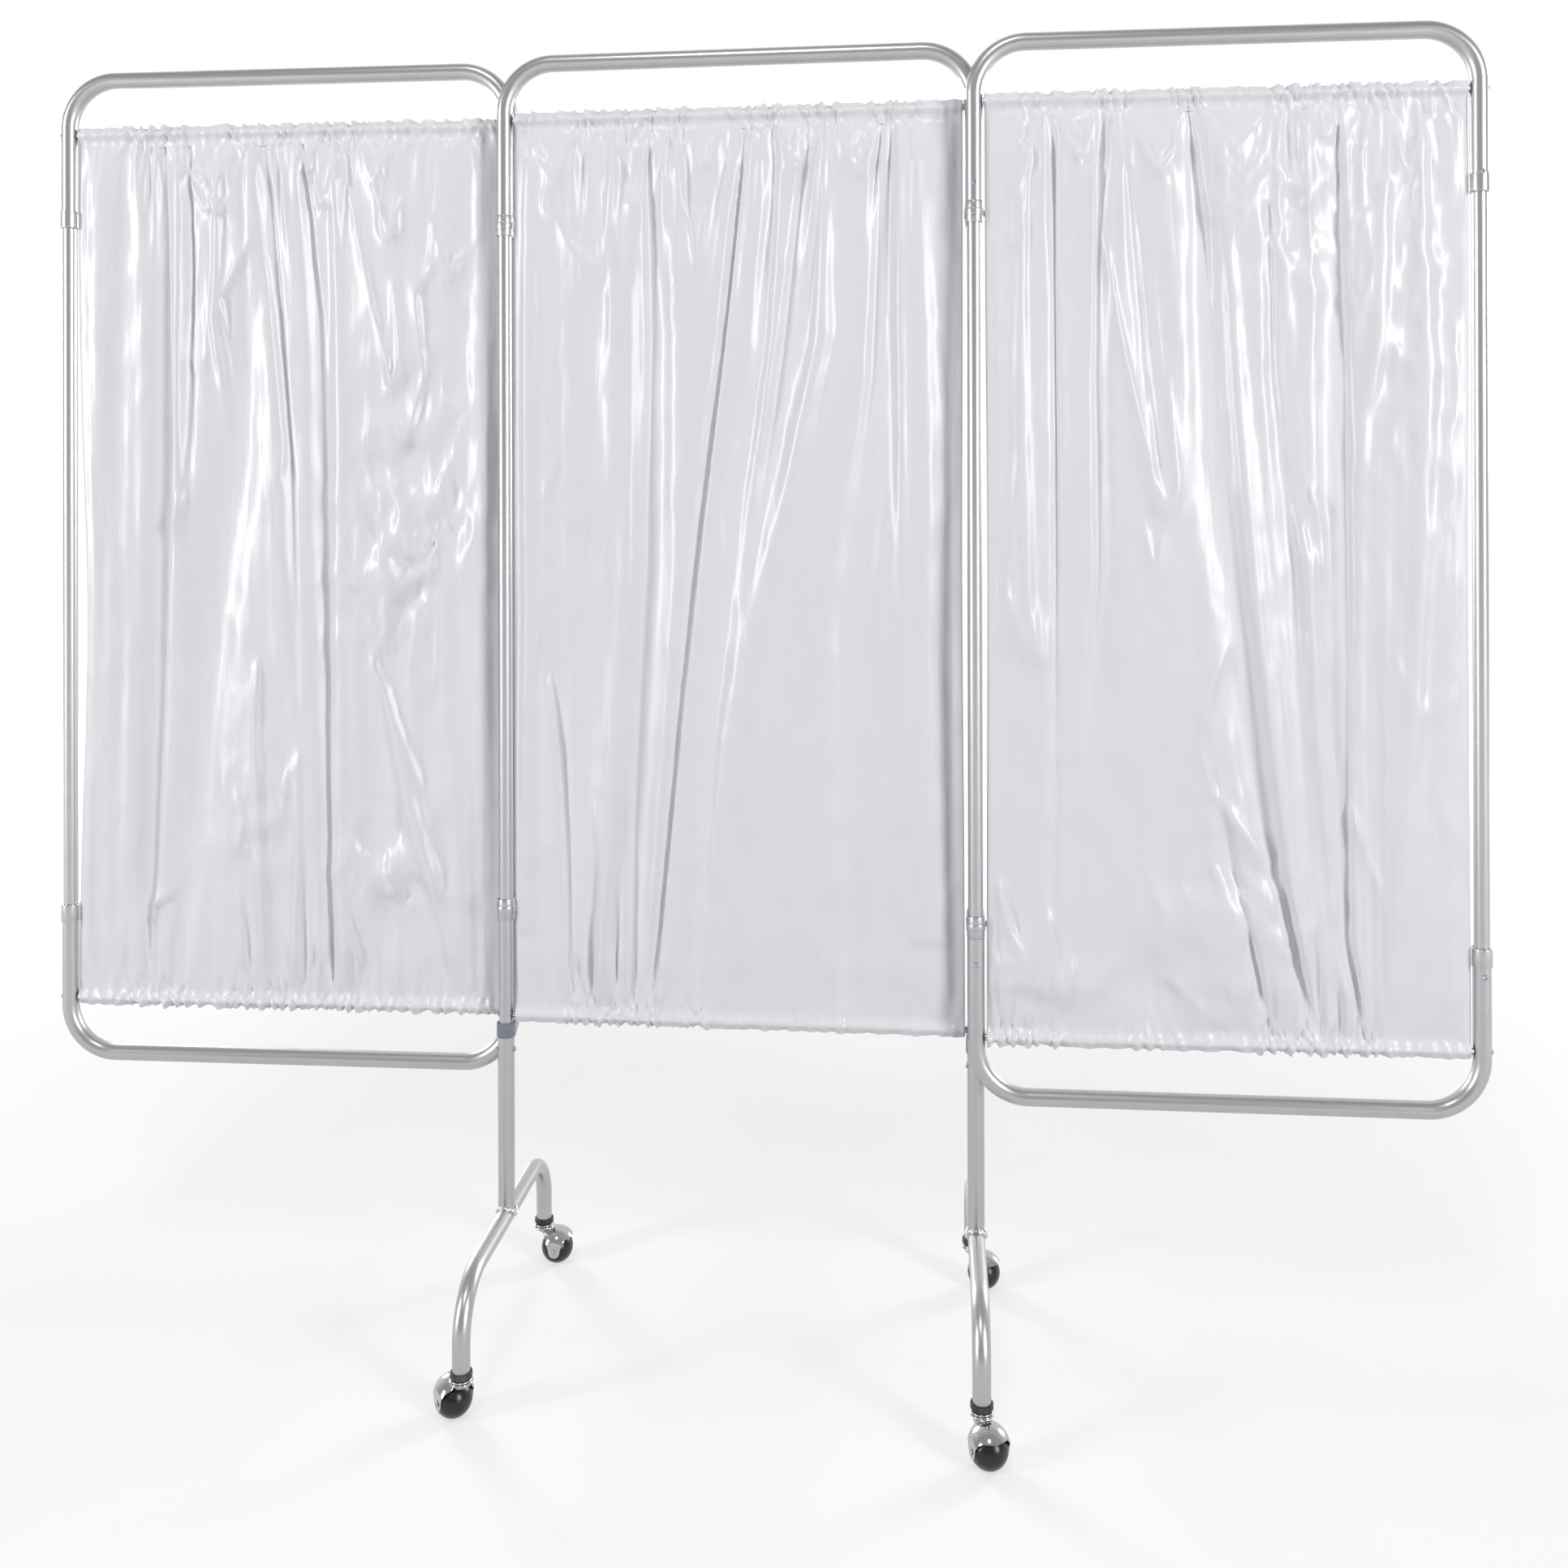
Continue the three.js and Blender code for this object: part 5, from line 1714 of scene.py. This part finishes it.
CLOTHS = (
    Cloth(
        name="left", facing=-1, seed=11, draw_left=12.0, draw_place=0.56, fold_limit=17.0,
        pull=((0, 0), (0.2, 0.165), (0.44, 0.53), (0.53, 0.6), (0.7, 0.72), (1, 1)),
        folds=(
            Fold(((0.2, 0, 6, -6.75), (0.205, 0.35, 13, -14.9), (0.18, 0.7, 13, -14.9),
                (0.165, 1, 6, -6.75)), 0.5),
            Fold(((0.267, 0, 4, -6.75), (0.27, 0.2, 5, -6.75), (0.262, 0.45, 8, 0)), 0.3),
            Fold(((0.235, 0, 7, 5.4), (0.235, 0.3, 9, 6.75), (0.23, 0.6, 12, 0)), -0.3),
            Fold(((0.44, 0.0, 6, -8.1), (0.47, 0.2, 9, -10.8), (0.505, 0.4, 7, -8.1),
                (0.53, 0.72, 6, 0)), 0.4),
            Fold(((0.53, 0, 4, -6.75), (0.57, 0.22, 8, -13.5), (0.585, 0.5, 8, -13.5),
                (0.6, 0.97, 5, -8.1)), 0.55),
            Fold(((0.615, 0.0, 9, 4.05), (0.62, 0.5, 14, 6.75), (0.63, 1, 12, 4.05)), -0.5),
            Fold(((0.44, 0.14, 16, 0), (0.37, 0.4, 32, -8.1), (0.29, 0.7, 34, -8.1),
                (0.23, 1, 16, -4.05)), 0.2),
            Fold(((0.12, 0, 12, -4.05), (0.1, 0.3, 22, -5.4), (0.09, 0.6, 34, 0)), -0.2),
            Fold(((0.345, 0.0, 5, 4.05), (0.33, 0.22, 8, 6.75), (0.36, 0.36, 6, 0)), 0.2),
            Fold(((0.72, 0.6, 8, 0), (0.79, 0.75, 11, 8.1), (0.93, 1, 10, 5.4)), 0.5),
            Fold(((0.93, 0, 10, -5.4), (0.92, 0.25, 18, -6.75), (0.9, 0.5, 22, -4.05),
                (0.93, 0.8, 14, -5.4), (0.94, 1, 8, -5.4)), 0.2),
            Fold(((0.66, 0.42, 14, 0), (0.7, 0.5, 18, 6.75), (0.78, 0.53, 12, 0)), -0.4),
            Fold(((0.43, 0.62, 5, 0), (0.44, 0.75, 7, 5.4), (0.45, 1, 5, 4.05)), 0.4),
            Fold(((0.53, 0.7, 5, 0), (0.53, 0.85, 6, 6.75), (0.52, 1, 5, 5.4)), 0.3),
        ),
        puffs=(
            Crease(((0.7, 0.0559), (0.729, 0.101), (0.749, 0.122), (0.771, 0.0909)), 2.6, 6),
            Crease(((0.65, 0.0769), (0.707, 0.203), (0.729, 0.245), (0.754, 0.292), (0.771, 0.259),
                (0.757, 0.182)), 3.0, 7),
            Crease(((0.864, 0.154), (0.807, 0.196), (0.829, 0.287), (0.786, 0.364),
                (0.693, 0.376)), 3.2, 9),
            Crease(((0.664, 0.42), (0.729, 0.49), (0.779, 0.517), (0.843, 0.503), (0.864, 0.462),
                (0.8, 0.49), (0.771, 0.441)), 3.4, 8),
            Crease(((0.629, 0.524), (0.7, 0.507), (0.764, 0.521), (0.814, 0.552)), 2.6, 7),
            Crease(((0.757, 0.556), (0.707, 0.605), (0.75, 0.657), (0.843, 0.783)), 3.0, 9),
            Crease(((0.414, 0.129), (0.343, 0.199), (0.364, 0.252)), 2.4, 6),
            Crease(((0.443, 0.154), (0.469, 0.266), (0.489, 0.371), (0.479, 0.399)), 2.4, 5),
            Crease(((0.207, 0.459), (0.234, 0.444), (0.251, 0.409)), 2.8, 6),
            Crease(((0.414, 0.612), (0.437, 0.61), (0.429, 0.685), (0.44, 0.755)), 2.4, 6),
            Crease(((0.493, 0.776), (0.503, 0.734), (0.536, 0.716)), 2.4, 5),
            Crease(((0.664, 0.815), (0.729, 0.86), (0.769, 0.869), (0.743, 0.832)), 3.2, 8),
            Crease(((0.386, 0.755), (0.407, 0.783), (0.393, 0.815), (0.421, 0.825)), 2.4, 6),
            Crease(((0.221, 0.874), (0.183, 0.885), (0.164, 0.986)), 2.6, 5),
            Crease(((0.643, 0.888), (0.671, 0.944), (0.657, 0.986)), 2.4, 6),
            Crease(((0.307, 0.0559), (0.336, 0.0979), (0.357, 0.0839)), 2.2, 6),
            Crease(((0.557, 0.035), (0.586, 0.0909), (0.614, 0.0629)), 2.2, 6),
            Crease(((0.843, 0.112), (0.886, 0.171), (0.929, 0.14)), 2.2, 7),
            Tongue(0.745, 0.02, 0.115, 17, 4.5), Tongue(0.76, 0.06, 0.285, 13, 4.5, 0.0),
            Tongue(0.87, 0.0, 0.16, 22, 3.5), Tongue(0.31, 0.03, 0.26, 15, 4.0, -0.02),
            Tongue(0.38, 0.14, 0.27, 9, 3.0), Tongue(0.7, 0.36, 0.5, 26, 4.5, 0.06),
            Tongue(0.86, 0.4, 0.62, 24, 3.0, -0.04),
        ),
        top=(
            Gather(0.12, 0.26, 9, 1.0, 0.3), Gather(0.36, 0.53, 9, 1.0, 0.25),
            Gather(0.56, 0.7, 8, 0.9, 0.2), Gather(0.74, 0.99, 12, 0.7, 0.12),
        ),
        bottom=(
            Gather(0.0, 0.12, 16, 0.6, 0.05), Gather(0.12, 0.24, 8, 0.9, 0.16),
            Gather(0.24, 0.36, 13, 0.7, 0.06), Gather(0.36, 0.66, 7.5, 1.0, 0.2),
            Gather(0.66, 0.98, 12, 0.8, 0.09),
        ),
        calm=(Patch(0.1, 0.3, 0.1, 0.25, 0.6),),
        crumples=(
            Patch(0.82, 0.4, 0.14, 0.13, 1.0), Patch(0.72, 0.52, 0.12, 0.07, 0.9),
            Patch(0.74, 0.84, 0.12, 0.06, 0.9), Patch(0.42, 0.78, 0.08, 0.06, 0.6),
        ),
    ),
    Cloth(
        name="centre", facing=1, seed=23,
        pull=((0, 0), (0.2, 0.17), (0.31, 0.26), (0.53, 0.31), (0.6, 0.4), (0.7, 0.46),
            (0.83, 0.74),
            (1, 1)),
        folds=(
            Fold(((0.305, 0, 6, -8.1), (0.325, 0.25, 15, -16.2), (0.315, 0.5, 15, -16.2),
                (0.285, 0.72, 12, -12.2), (0.26, 1, 6, -8.1)), -0.4),
            Fold(((0.527, 0, 5, -6.75), (0.465, 0.27, 5, -9.45), (0.42, 0.45, 5, -9.45),
                (0.37, 0.67, 5, -9.45), (0.305, 1, 4, -6.75)), 0.6),
            Fold(((0.59, 0, 9, -6.75), (0.56, 0.25, 13, -8.1), (0.5, 0.45, 16, -6.75),
                (0.44, 0.7, 16, -6.75), (0.4, 1, 10, -4.05)), 0.3),
            Fold(((0.675, 0, 7, -8.1), (0.62, 0.25, 16, -10.8), (0.56, 0.45, 22, -6.75),
                (0.5, 0.65, 28, 0)), -0.4),
            Fold(((0.70, 0, 8, 4.05), (0.7, 0.25, 12, 6.75), (0.62, 0.42, 14, 8.1),
                (0.53, 0.6, 18, 5.4),
                (0.46, 0.8, 20, 0)), 0.4),
            Fold(((0.83, 0, 8, -5.4), (0.81, 0.3, 14, -6.75), (0.75, 0.55, 24, -8.1),
                (0.735, 1, 12, -4.05)), -0.3),
            Fold(((0.865, 0, 6, 5.4), (0.87, 0.35, 8, 5.4), (0.87, 0.8, 16, 0)), 0.4),
            Fold(((0.9, 0, 10, 4.05), (0.92, 0.35, 18, 6.75), (0.93, 0.9, 20, 2.7)), 0.3),
            Fold(((0.23, 0, 7, 4.05), (0.235, 0.2, 10, 6.75), (0.225, 0.45, 14, 0)), 0.3),
            Fold(((0.08, 0.58, 8, 0), (0.11, 0.75, 9, -8.1), (0.135, 1, 5, -6.75)), -0.5),
            Fold(((0.2, 0.78, 6, 0), (0.18, 0.9, 8, -6.75), (0.17, 1, 4, -5.4)), 0.4),
            Fold(((0.27, 0.1, 10, 4.05), (0.26, 0.5, 14, 6.75), (0.22, 0.8, 12, 6.75),
                (0.19, 1, 5, 4.05)), 0.3),
            Fold(((0.04, 0.05, 10, 2.7), (0.03, 0.4, 14, 5.4), (0.02, 0.9, 16, 2.7)), 0.3),
            Fold(((0.98, 0.2, 12, 0), (0.97, 0.6, 24, -8.1), (0.99, 1, 12, -4.05)), 0.1),
        ),
        puffs=(
            Crease(((0.15, 0.0208), (0.0838, 0.0952), (0.126, 0.143), (0.174, 0.171), (0.21, 0.163),
                (0.216, 0.0923)), 3.0, 8),
            Crease(((0.243, 0.0208), (0.226, 0.122), (0.238, 0.212), (0.255, 0.17)), 2.6, 6),
            Crease(((0.0719, 0.33), (0.104, 0.384), (0.0707, 0.423), (0.0419, 0.432)), 2.0, 7),
            Crease(((0.0719, 0.622), (0.102, 0.747), (0.138, 0.979)), 2.6, 7),
            Crease(((0.365, 0.0268), (0.383, 0.0923), (0.413, 0.17), (0.431, 0.116)), 2.2, 5),
            Crease(((0.737, 0.0208), (0.754, 0.0506), (0.784, 0.0268)), 2.0, 6),
            Crease(((0.593, 0.00893), (0.617, 0.0685), (0.647, 0.0268)), 2.0, 6),
            Crease(((0.0419, 0.533), (0.0599, 0.568), (0.0443, 0.616)), 1.6, 7),
            Crease(((0.186, 0.765), (0.21, 0.866), (0.198, 0.949)), 2.4, 5),
            Tongue(0.1, 0.02, 0.1, 16, 4.0, -0.01), Tongue(0.17, 0.03, 0.175, 17, 5.0, 0.01),
            Tongue(0.235, 0.08, 0.25, 9, 3.5), Tongue(0.13, 0.34, 0.46, 14, 2.5, 0.02),
            Tongue(0.38, 0.03, 0.2, 9, 3.0),
        ),
        top=(
            Gather(0.01, 0.04, 6, 1.0, 0.06), Gather(0.14, 0.27, 9, 1.0, 0.2),
            Gather(0.29, 0.41, 8, 1.0, 0.3), Gather(0.48, 0.6, 8, 0.9, 0.4),
            Gather(0.66, 0.73, 8, 1.0, 0.4), Gather(0.8, 0.9, 7, 1.0, 0.4),
        ),
        bottom=(
            Gather(0.12, 0.32, 6, 1.15, 0.2), Gather(0.38, 0.42, 9, 0.8, 0.1),
            Gather(0.72, 0.75, 9, 0.6, 0.1), Gather(0.44, 0.7, 26, 0.35, 0.02),
        ),
        calm=(Patch(0.72, 0.78, 0.3, 0.32, 0.85),),
        crumples=(Patch(0.12, 0.45, 0.07, 0.1, 0.35), Patch(0.25, 0.12, 0.1, 0.05, 0.3)),
    ),
    Cloth(
        name="right", facing=1, seed=37, fold_limit=10.0,
        pull=((0, 0), (0.15, 0.14), (0.25, 0.23), (0.42, 0.66), (0.6, 0.72), (0.73, 0.78),
            (0.9, 0.85),
            (1, 1)),
        folds=(
            Fold(((0.73, 0, 7, -8.1), (0.735, 0.3, 16, -16.2), (0.735, 0.55, 17, -17.6),
                (0.745, 0.88, 9, -13.5), (0.79, 1, 5, -8.1)), 0.45),
            Fold(((0.425, 0, 5, -8.1), (0.455, 0.15, 8, -13.5), (0.475, 0.38, 20, -10.8),
                (0.53, 0.55, 20, -8.1), (0.6, 0.8, 8, -8.1), (0.69, 1, 6, -6.75)), 0.4),
            Fold(((0.245, 0, 5, -8.1), (0.24, 0.3, 7, -8.1), (0.245, 0.5, 10, -6.75),
                (0.22, 0.72, 16, 0)), -0.4),
            Fold(((0.145, 0, 4, -5.4), (0.15, 0.5, 5, -5.4), (0.14, 0.86, 8, -1.35)), 0.4),
            Fold(((0.49, 0.05, 7, 4.05), (0.52, 0.3, 10, 6.75), (0.56, 0.55, 12, 8.1),
                (0.61, 0.75, 12, 6.75), (0.68, 0.97, 6, 4.05)), -0.4),
            Fold(((0.59, 0.12, 5, -4.05), (0.6, 0.3, 7, -5.4), (0.64, 0.5, 8, -5.4),
                (0.67, 0.8, 9, 0)), 0.3),
            Fold(((0.5, 0.56, 10, 0), (0.56, 0.72, 12, -9.45), (0.63, 0.88, 7, -8.1),
                (0.68, 1, 5, -6.75)), 0.3),
            Fold(((0.47, 0.7, 9, 0), (0.53, 0.85, 9, -8.1), (0.6, 1, 6, -6.75)), 0.4),
            Fold(((0.64, 0.42, 6, 0), (0.675, 0.5, 10, 6.75), (0.7, 0.7, 10, 6.75),
                (0.76, 1, 6, 5.4)), 0.3),
            Fold(((0.9, 0.05, 8, 4.05), (0.92, 0.3, 12, 6.75), (0.9, 0.55, 12, 5.4),
                (0.87, 0.8, 16, 4.05), (0.82, 1, 8, 2.7)), 0.4),
            Fold(((0.83, 0.1, 8, 5.4), (0.82, 0.25, 12, 8.1), (0.77, 0.42, 10, 0)), 0.3),
            Fold(((0.3, 0.08, 6, -2.7), (0.34, 0.3, 7, -5.4), (0.38, 0.44, 6, 0)), 0.2),
            Fold(((0.08, 0.05, 8, 4.05), (0.07, 0.3, 9, 5.4), (0.08, 0.55, 9, 6.75),
                (0.1, 0.58, 6, 0)), -0.4),
            Fold(((0.32, 0.88, 20, 0), (0.36, 0.94, 26, -6.75), (0.34, 1, 12, -5.4)), 0.2),
        ),
        puffs=(
            Crease(((0.234, 0.0922), (0.283, 0.248), (0.352, 0.404), (0.382, 0.435), (0.404, 0.411),
                (0.382, 0.298)), 3.0, 8),
            Crease(((0.331, 0.454), (0.356, 0.498), (0.368, 0.461)), 2.2, 7),
            Crease(((0.0759, 0.362), (0.0414, 0.525), (0.0814, 0.577), (0.103, 0.567)), 2.6, 7),
            Crease(((0.483, 0.117), (0.534, 0.125), (0.593, 0.0837)), 2.8, 6),
            Crease(((0.745, 0.155), (0.801, 0.129)), 3.2, 6),
            Crease(((0.749, 0.213), (0.772, 0.232), (0.804, 0.19), (0.793, 0.156)), 3.0, 6),
            Crease(((0.661, 0.447), (0.683, 0.425), (0.701, 0.454), (0.713, 0.603)), 2.8, 6),
            Crease(((0.506, 0.584), (0.469, 0.624), (0.448, 0.684), (0.473, 0.73), (0.586, 0.801),
                (0.628, 0.813), (0.586, 0.846), (0.545, 0.824)), 3.0, 8),
            Crease(((0.49, 0.816), (0.561, 0.855), (0.617, 0.895), (0.651, 0.898),
                (0.655, 0.876)), 3.2, 7),
            Crease(((0.393, 0.929), (0.483, 0.97), (0.552, 0.954)), 2.8, 10),
            Crease(((0.0207, 0.826), (0.0483, 0.879), (0.0828, 0.911), (0.029, 0.918)), 3.4, 7),
            Crease(((0.131, 0.868), (0.103, 0.915), (0.0648, 0.938)), 3.2, 6),
            Crease(((0.131, 0.868), (0.156, 0.957)), 3.0, 6),
            Crease(((0.181, 0.915), (0.166, 0.957)), 2.6, 5),
            Crease(((0.841, 0.589), (0.903, 0.645), (0.966, 0.624)), 2.0, 9),
            Crease(((0.0759, 0.0284), (0.0924, 0.0709), (0.0621, 0.106)), 2.4, 6),
            Crease(((0.31, 0.0284), (0.352, 0.078), (0.393, 0.0709)), 2.2, 7),
            Crease(((0.117, 0.0142), (0.186, 0.0319), (0.234, 0.0213)), 2.2, 6),
            Crease(((0.834, 0.0284), (0.876, 0.0922), (0.903, 0.0426)), 2.2, 6),
            Crease(((0.683, 0.674), (0.766, 0.759), (0.821, 0.837)), 1.8, 7),
            Tongue(0.33, 0.1, 0.42, 19, 5.5, 0.045), Tongue(0.055, 0.04, 0.15, 12, 4.0, 0.01),
            Tongue(0.54, 0.03, 0.125, 22, 5.0, -0.03), Tongue(0.78, 0.0, 0.05, 15, 3.5),
            Tongue(0.785, 0.1, 0.21, 10, 5.0), Tongue(0.69, 0.42, 0.5, 7, 3.5),
            Tongue(0.13, 0.86, 0.94, 10, 5.0), Tongue(0.03, 0.84, 0.9, 16, 5.0, 0.02),
            Tongue(0.61, 0.76, 0.87, 12, 5.0, 0.02), Tongue(0.5, 0.8, 0.93, 18, 4.0, 0.03),
        ),
        top=(
            Gather(0.08, 0.16, 11, 0.8, 0.3), Gather(0.23, 0.31, 8, 1.0, 0.35),
            Gather(0.4, 0.46, 7, 1.1, 0.3), Gather(0.6, 0.7, 8, 1.0, 0.35),
            Gather(0.72, 0.98, 10, 0.9, 0.25),
        ),
        bottom=(
            Gather(0.0, 0.16, 9, 1.0, 0.07), Gather(0.3, 0.36, 12, 0.8, 0.08),
            Gather(0.4, 0.56, 20, 0.5, 0.03), Gather(0.57, 0.83, 7, 1.15, 0.16),
        ),
        calm=(Patch(0.25, 0.62, 0.22, 0.25, 0.6),),
        crumples=(
            Patch(0.66, 0.14, 0.14, 0.07, 0.7), Patch(0.88, 0.3, 0.08, 0.18, 0.6),
            Patch(0.5, 0.86, 0.16, 0.06, 0.9), Patch(0.08, 0.93, 0.12, 0.05, 0.8),
            Patch(0.08, 0.58, 0.05, 0.03, 0.6),
        ),
    ),
)

@dataclass
class Studio:
    """Pale floor, white surroundings, soft lamps and the camera.

    Each lamp has its place and its width and height in metres, and its power in watts.
    """

    focal_pixels: float = 1756.0
    axis_height_pixels: float = 618.7
    camera_place: tuple[float, float, float] = (255.3, -1880.1, 1123.5)
    yaw: float = math.radians(-5.76)
    pitch: float = math.radians(0.13)
    roll: float = math.radians(-0.14)
    sensor: float = 36.0
    room_light: float = 0.1
    room_gloss: float = 0.5
    backdrop_edge: Span = (-0.1, 0.45)
    floor_size: float = 40.0
    floor_glow: Span = (0.56, 0.98)
    glow_reach: Span = (1.0, 6.0)
    aim: tuple[float, float, float] = (0, 0, 0.95)
    lamps: tuple[tuple[str, tuple, tuple, float], ...] = (
        ("key_box", (5.2, -4.2, 2.5), (1.6, 3.0), 242),
        ("top_box", (-0.4, -3.4, 5.2), (1.0, 1.0), 54),
        ("fill_box", (-5.3, -3.3, 2.0), (1.1, 2.8), 180),
        ("back_right_box", (5.0, 4.2, 2.6), (1.8, 2.6), 190),
        ("back_left_box", (-4.4, 4.6, 2.4), (1.8, 2.6), 190),
    )

    def camera(self) -> None:
        """Sets the camera at the photograph's view."""
        data = bpy.data.cameras.new("photo_view")
        data.sensor_width = self.sensor
        data.lens = self.focal_pixels / PHOTO_PIXELS * self.sensor
        data.shift_y = (self.axis_height_pixels - PHOTO_PIXELS / 2) / PHOTO_PIXELS
        ahead = Vector((
            math.sin(self.yaw) * math.cos(self.pitch),
            math.cos(self.yaw) * math.cos(self.pitch),
            math.sin(self.pitch),
        ))
        right = Vector((math.cos(self.yaw), -math.sin(self.yaw), 0))
        rolled = right * math.cos(self.roll) + right.cross(ahead) * math.sin(self.roll)
        camera = bpy.data.objects.new("photo_view", data)
        axes = zip(rolled, rolled.cross(ahead), -ahead, Vector(self.camera_place) * MM)
        camera.matrix_world = Matrix((*axes, (0, 0, 0, 1)))
        bpy.context.scene.collection.objects.link(camera)
        bpy.context.scene.camera = camera

    def lamp(self, name: str, place: tuple, size: tuple[float, float], power: float) -> None:
        """Hangs one softbox that looks at the screen."""
        data = bpy.data.lights.new(name, "AREA")
        data.shape = "RECTANGLE"
        data.size, data.size_y = size
        data.energy = power
        lamp = bpy.data.objects.new(name, data)
        lamp.location = place
        lamp.rotation_euler = (Vector(self.aim) - Vector(place)).to_track_quat("-Z", "Y").to_euler()
        bpy.context.scene.collection.objects.link(lamp)

    def seen(self, tree: Tree) -> Socket:
        """One for rays from the camera, from gloss or through glass, else zero."""
        camera, gloss, glass = (add_node(tree, "LightPath", output=ray) for ray in SEEN_RAYS)
        either = add_node(tree, "Math", {0: camera, 1: gloss}, operation="MAXIMUM")
        return add_node(tree, "Math", {0: either, 1: glass}, operation="MAXIMUM")

    def world(self) -> None:
        """White where it is seen, and softer where it lights."""
        world = bpy.data.worlds.new("white_studio")
        world.use_nodes = True
        tree = world.node_tree
        back = tree.nodes["Background"]
        strength = add_node(tree, "MapRange", {0: self.seen(tree), 3: self.room_light, 4: 1.0})
        # Gloss sees the white backdrop behind the screen and a dimmer room in front of it
        heading = add_node(tree, "TexCoord", output="Generated")
        ahead = add_node(tree, "SeparateXYZ", {0: heading}, "Y")
        start, end = self.backdrop_edge
        room = add_node(tree, "MapRange", {0: ahead, 1: start, 2: end, 3: self.room_gloss, 4: 1.0})
        gloss = add_node(tree, "LightPath", output="Is Glossy Ray")
        dim = add_node(tree, "Mix", {0: gloss, 2: 1.0, 3: room}, data_type="FLOAT")
        level = add_node(tree, "Math", {0: strength, 1: dim}, operation="MULTIPLY")
        tree.links.new(level, back.inputs["Strength"])
        back.inputs["Color"].default_value = linear(WHITE)
        bpy.context.scene.world = world

    def floor(self) -> None:
        """Lays the pale floor, lifted to white where it is seen, with the screen's soft shadow."""
        Bench.clear()
        bpy.ops.mesh.primitive_plane_add(size=self.floor_size, location=(0, 0, 0))
        floor = Bench.named("pale_floor")
        surface = Surface.made("pale_floor_paint", {
            "Base Color": linear("#b4b4b4"), "Roughness": 0.9, "Specular IOR Level": 0.0,
            "Emission Color": linear(WHITE),
        })
        # The lamps fade out over the floor, so its own white grows with the distance
        tree = surface.tree
        away = add_node(tree, "VectorMath", {0: surface.place()}, "Value", operation="LENGTH")
        near, far = self.glow_reach
        low, high = self.floor_glow
        white = add_node(tree, "MapRange", {0: away, 1: near, 2: far, 3: low, 4: high})
        glow = add_node(tree, "Math", {0: self.seen(tree), 1: white}, operation="MULTIPLY")
        tree.links.new(glow, surface.shader.inputs["Emission Strength"])
        floor.data.materials.append(surface.material)
        floor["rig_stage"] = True

    def build(self) -> None:
        """Sets up the whole studio."""
        self.camera()
        self.world()
        self.floor()
        for lamp in self.lamps:
            self.lamp(*lamp)
        bpy.context.scene.view_settings.view_transform = "Standard"


def soften() -> None:
    """Shades every modelled piece but the curtains smooth across its gentle edges."""
    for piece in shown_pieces():
        cad_solid = "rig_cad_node" in piece
        if piece.type == "MESH" and not cad_solid and not piece.name.endswith("_vinyl"):
            Bench.take(piece)
            bpy.ops.object.shade_smooth_by_angle(angle=SMOOTH_ANGLE)


def main() -> None:
    """Builds the looks in order."""
    logging.basicConfig(level=logging.INFO, format="%(name)s %(message)s")
    plan = ScreenPlan()
    Studio().build()
    for work in (TubeWork, ScrewWork, Stand, HingeWork, CasterWork, CurtainWork):
        work(plan).build()
    soften()


if __name__ == "__main__":
    main()
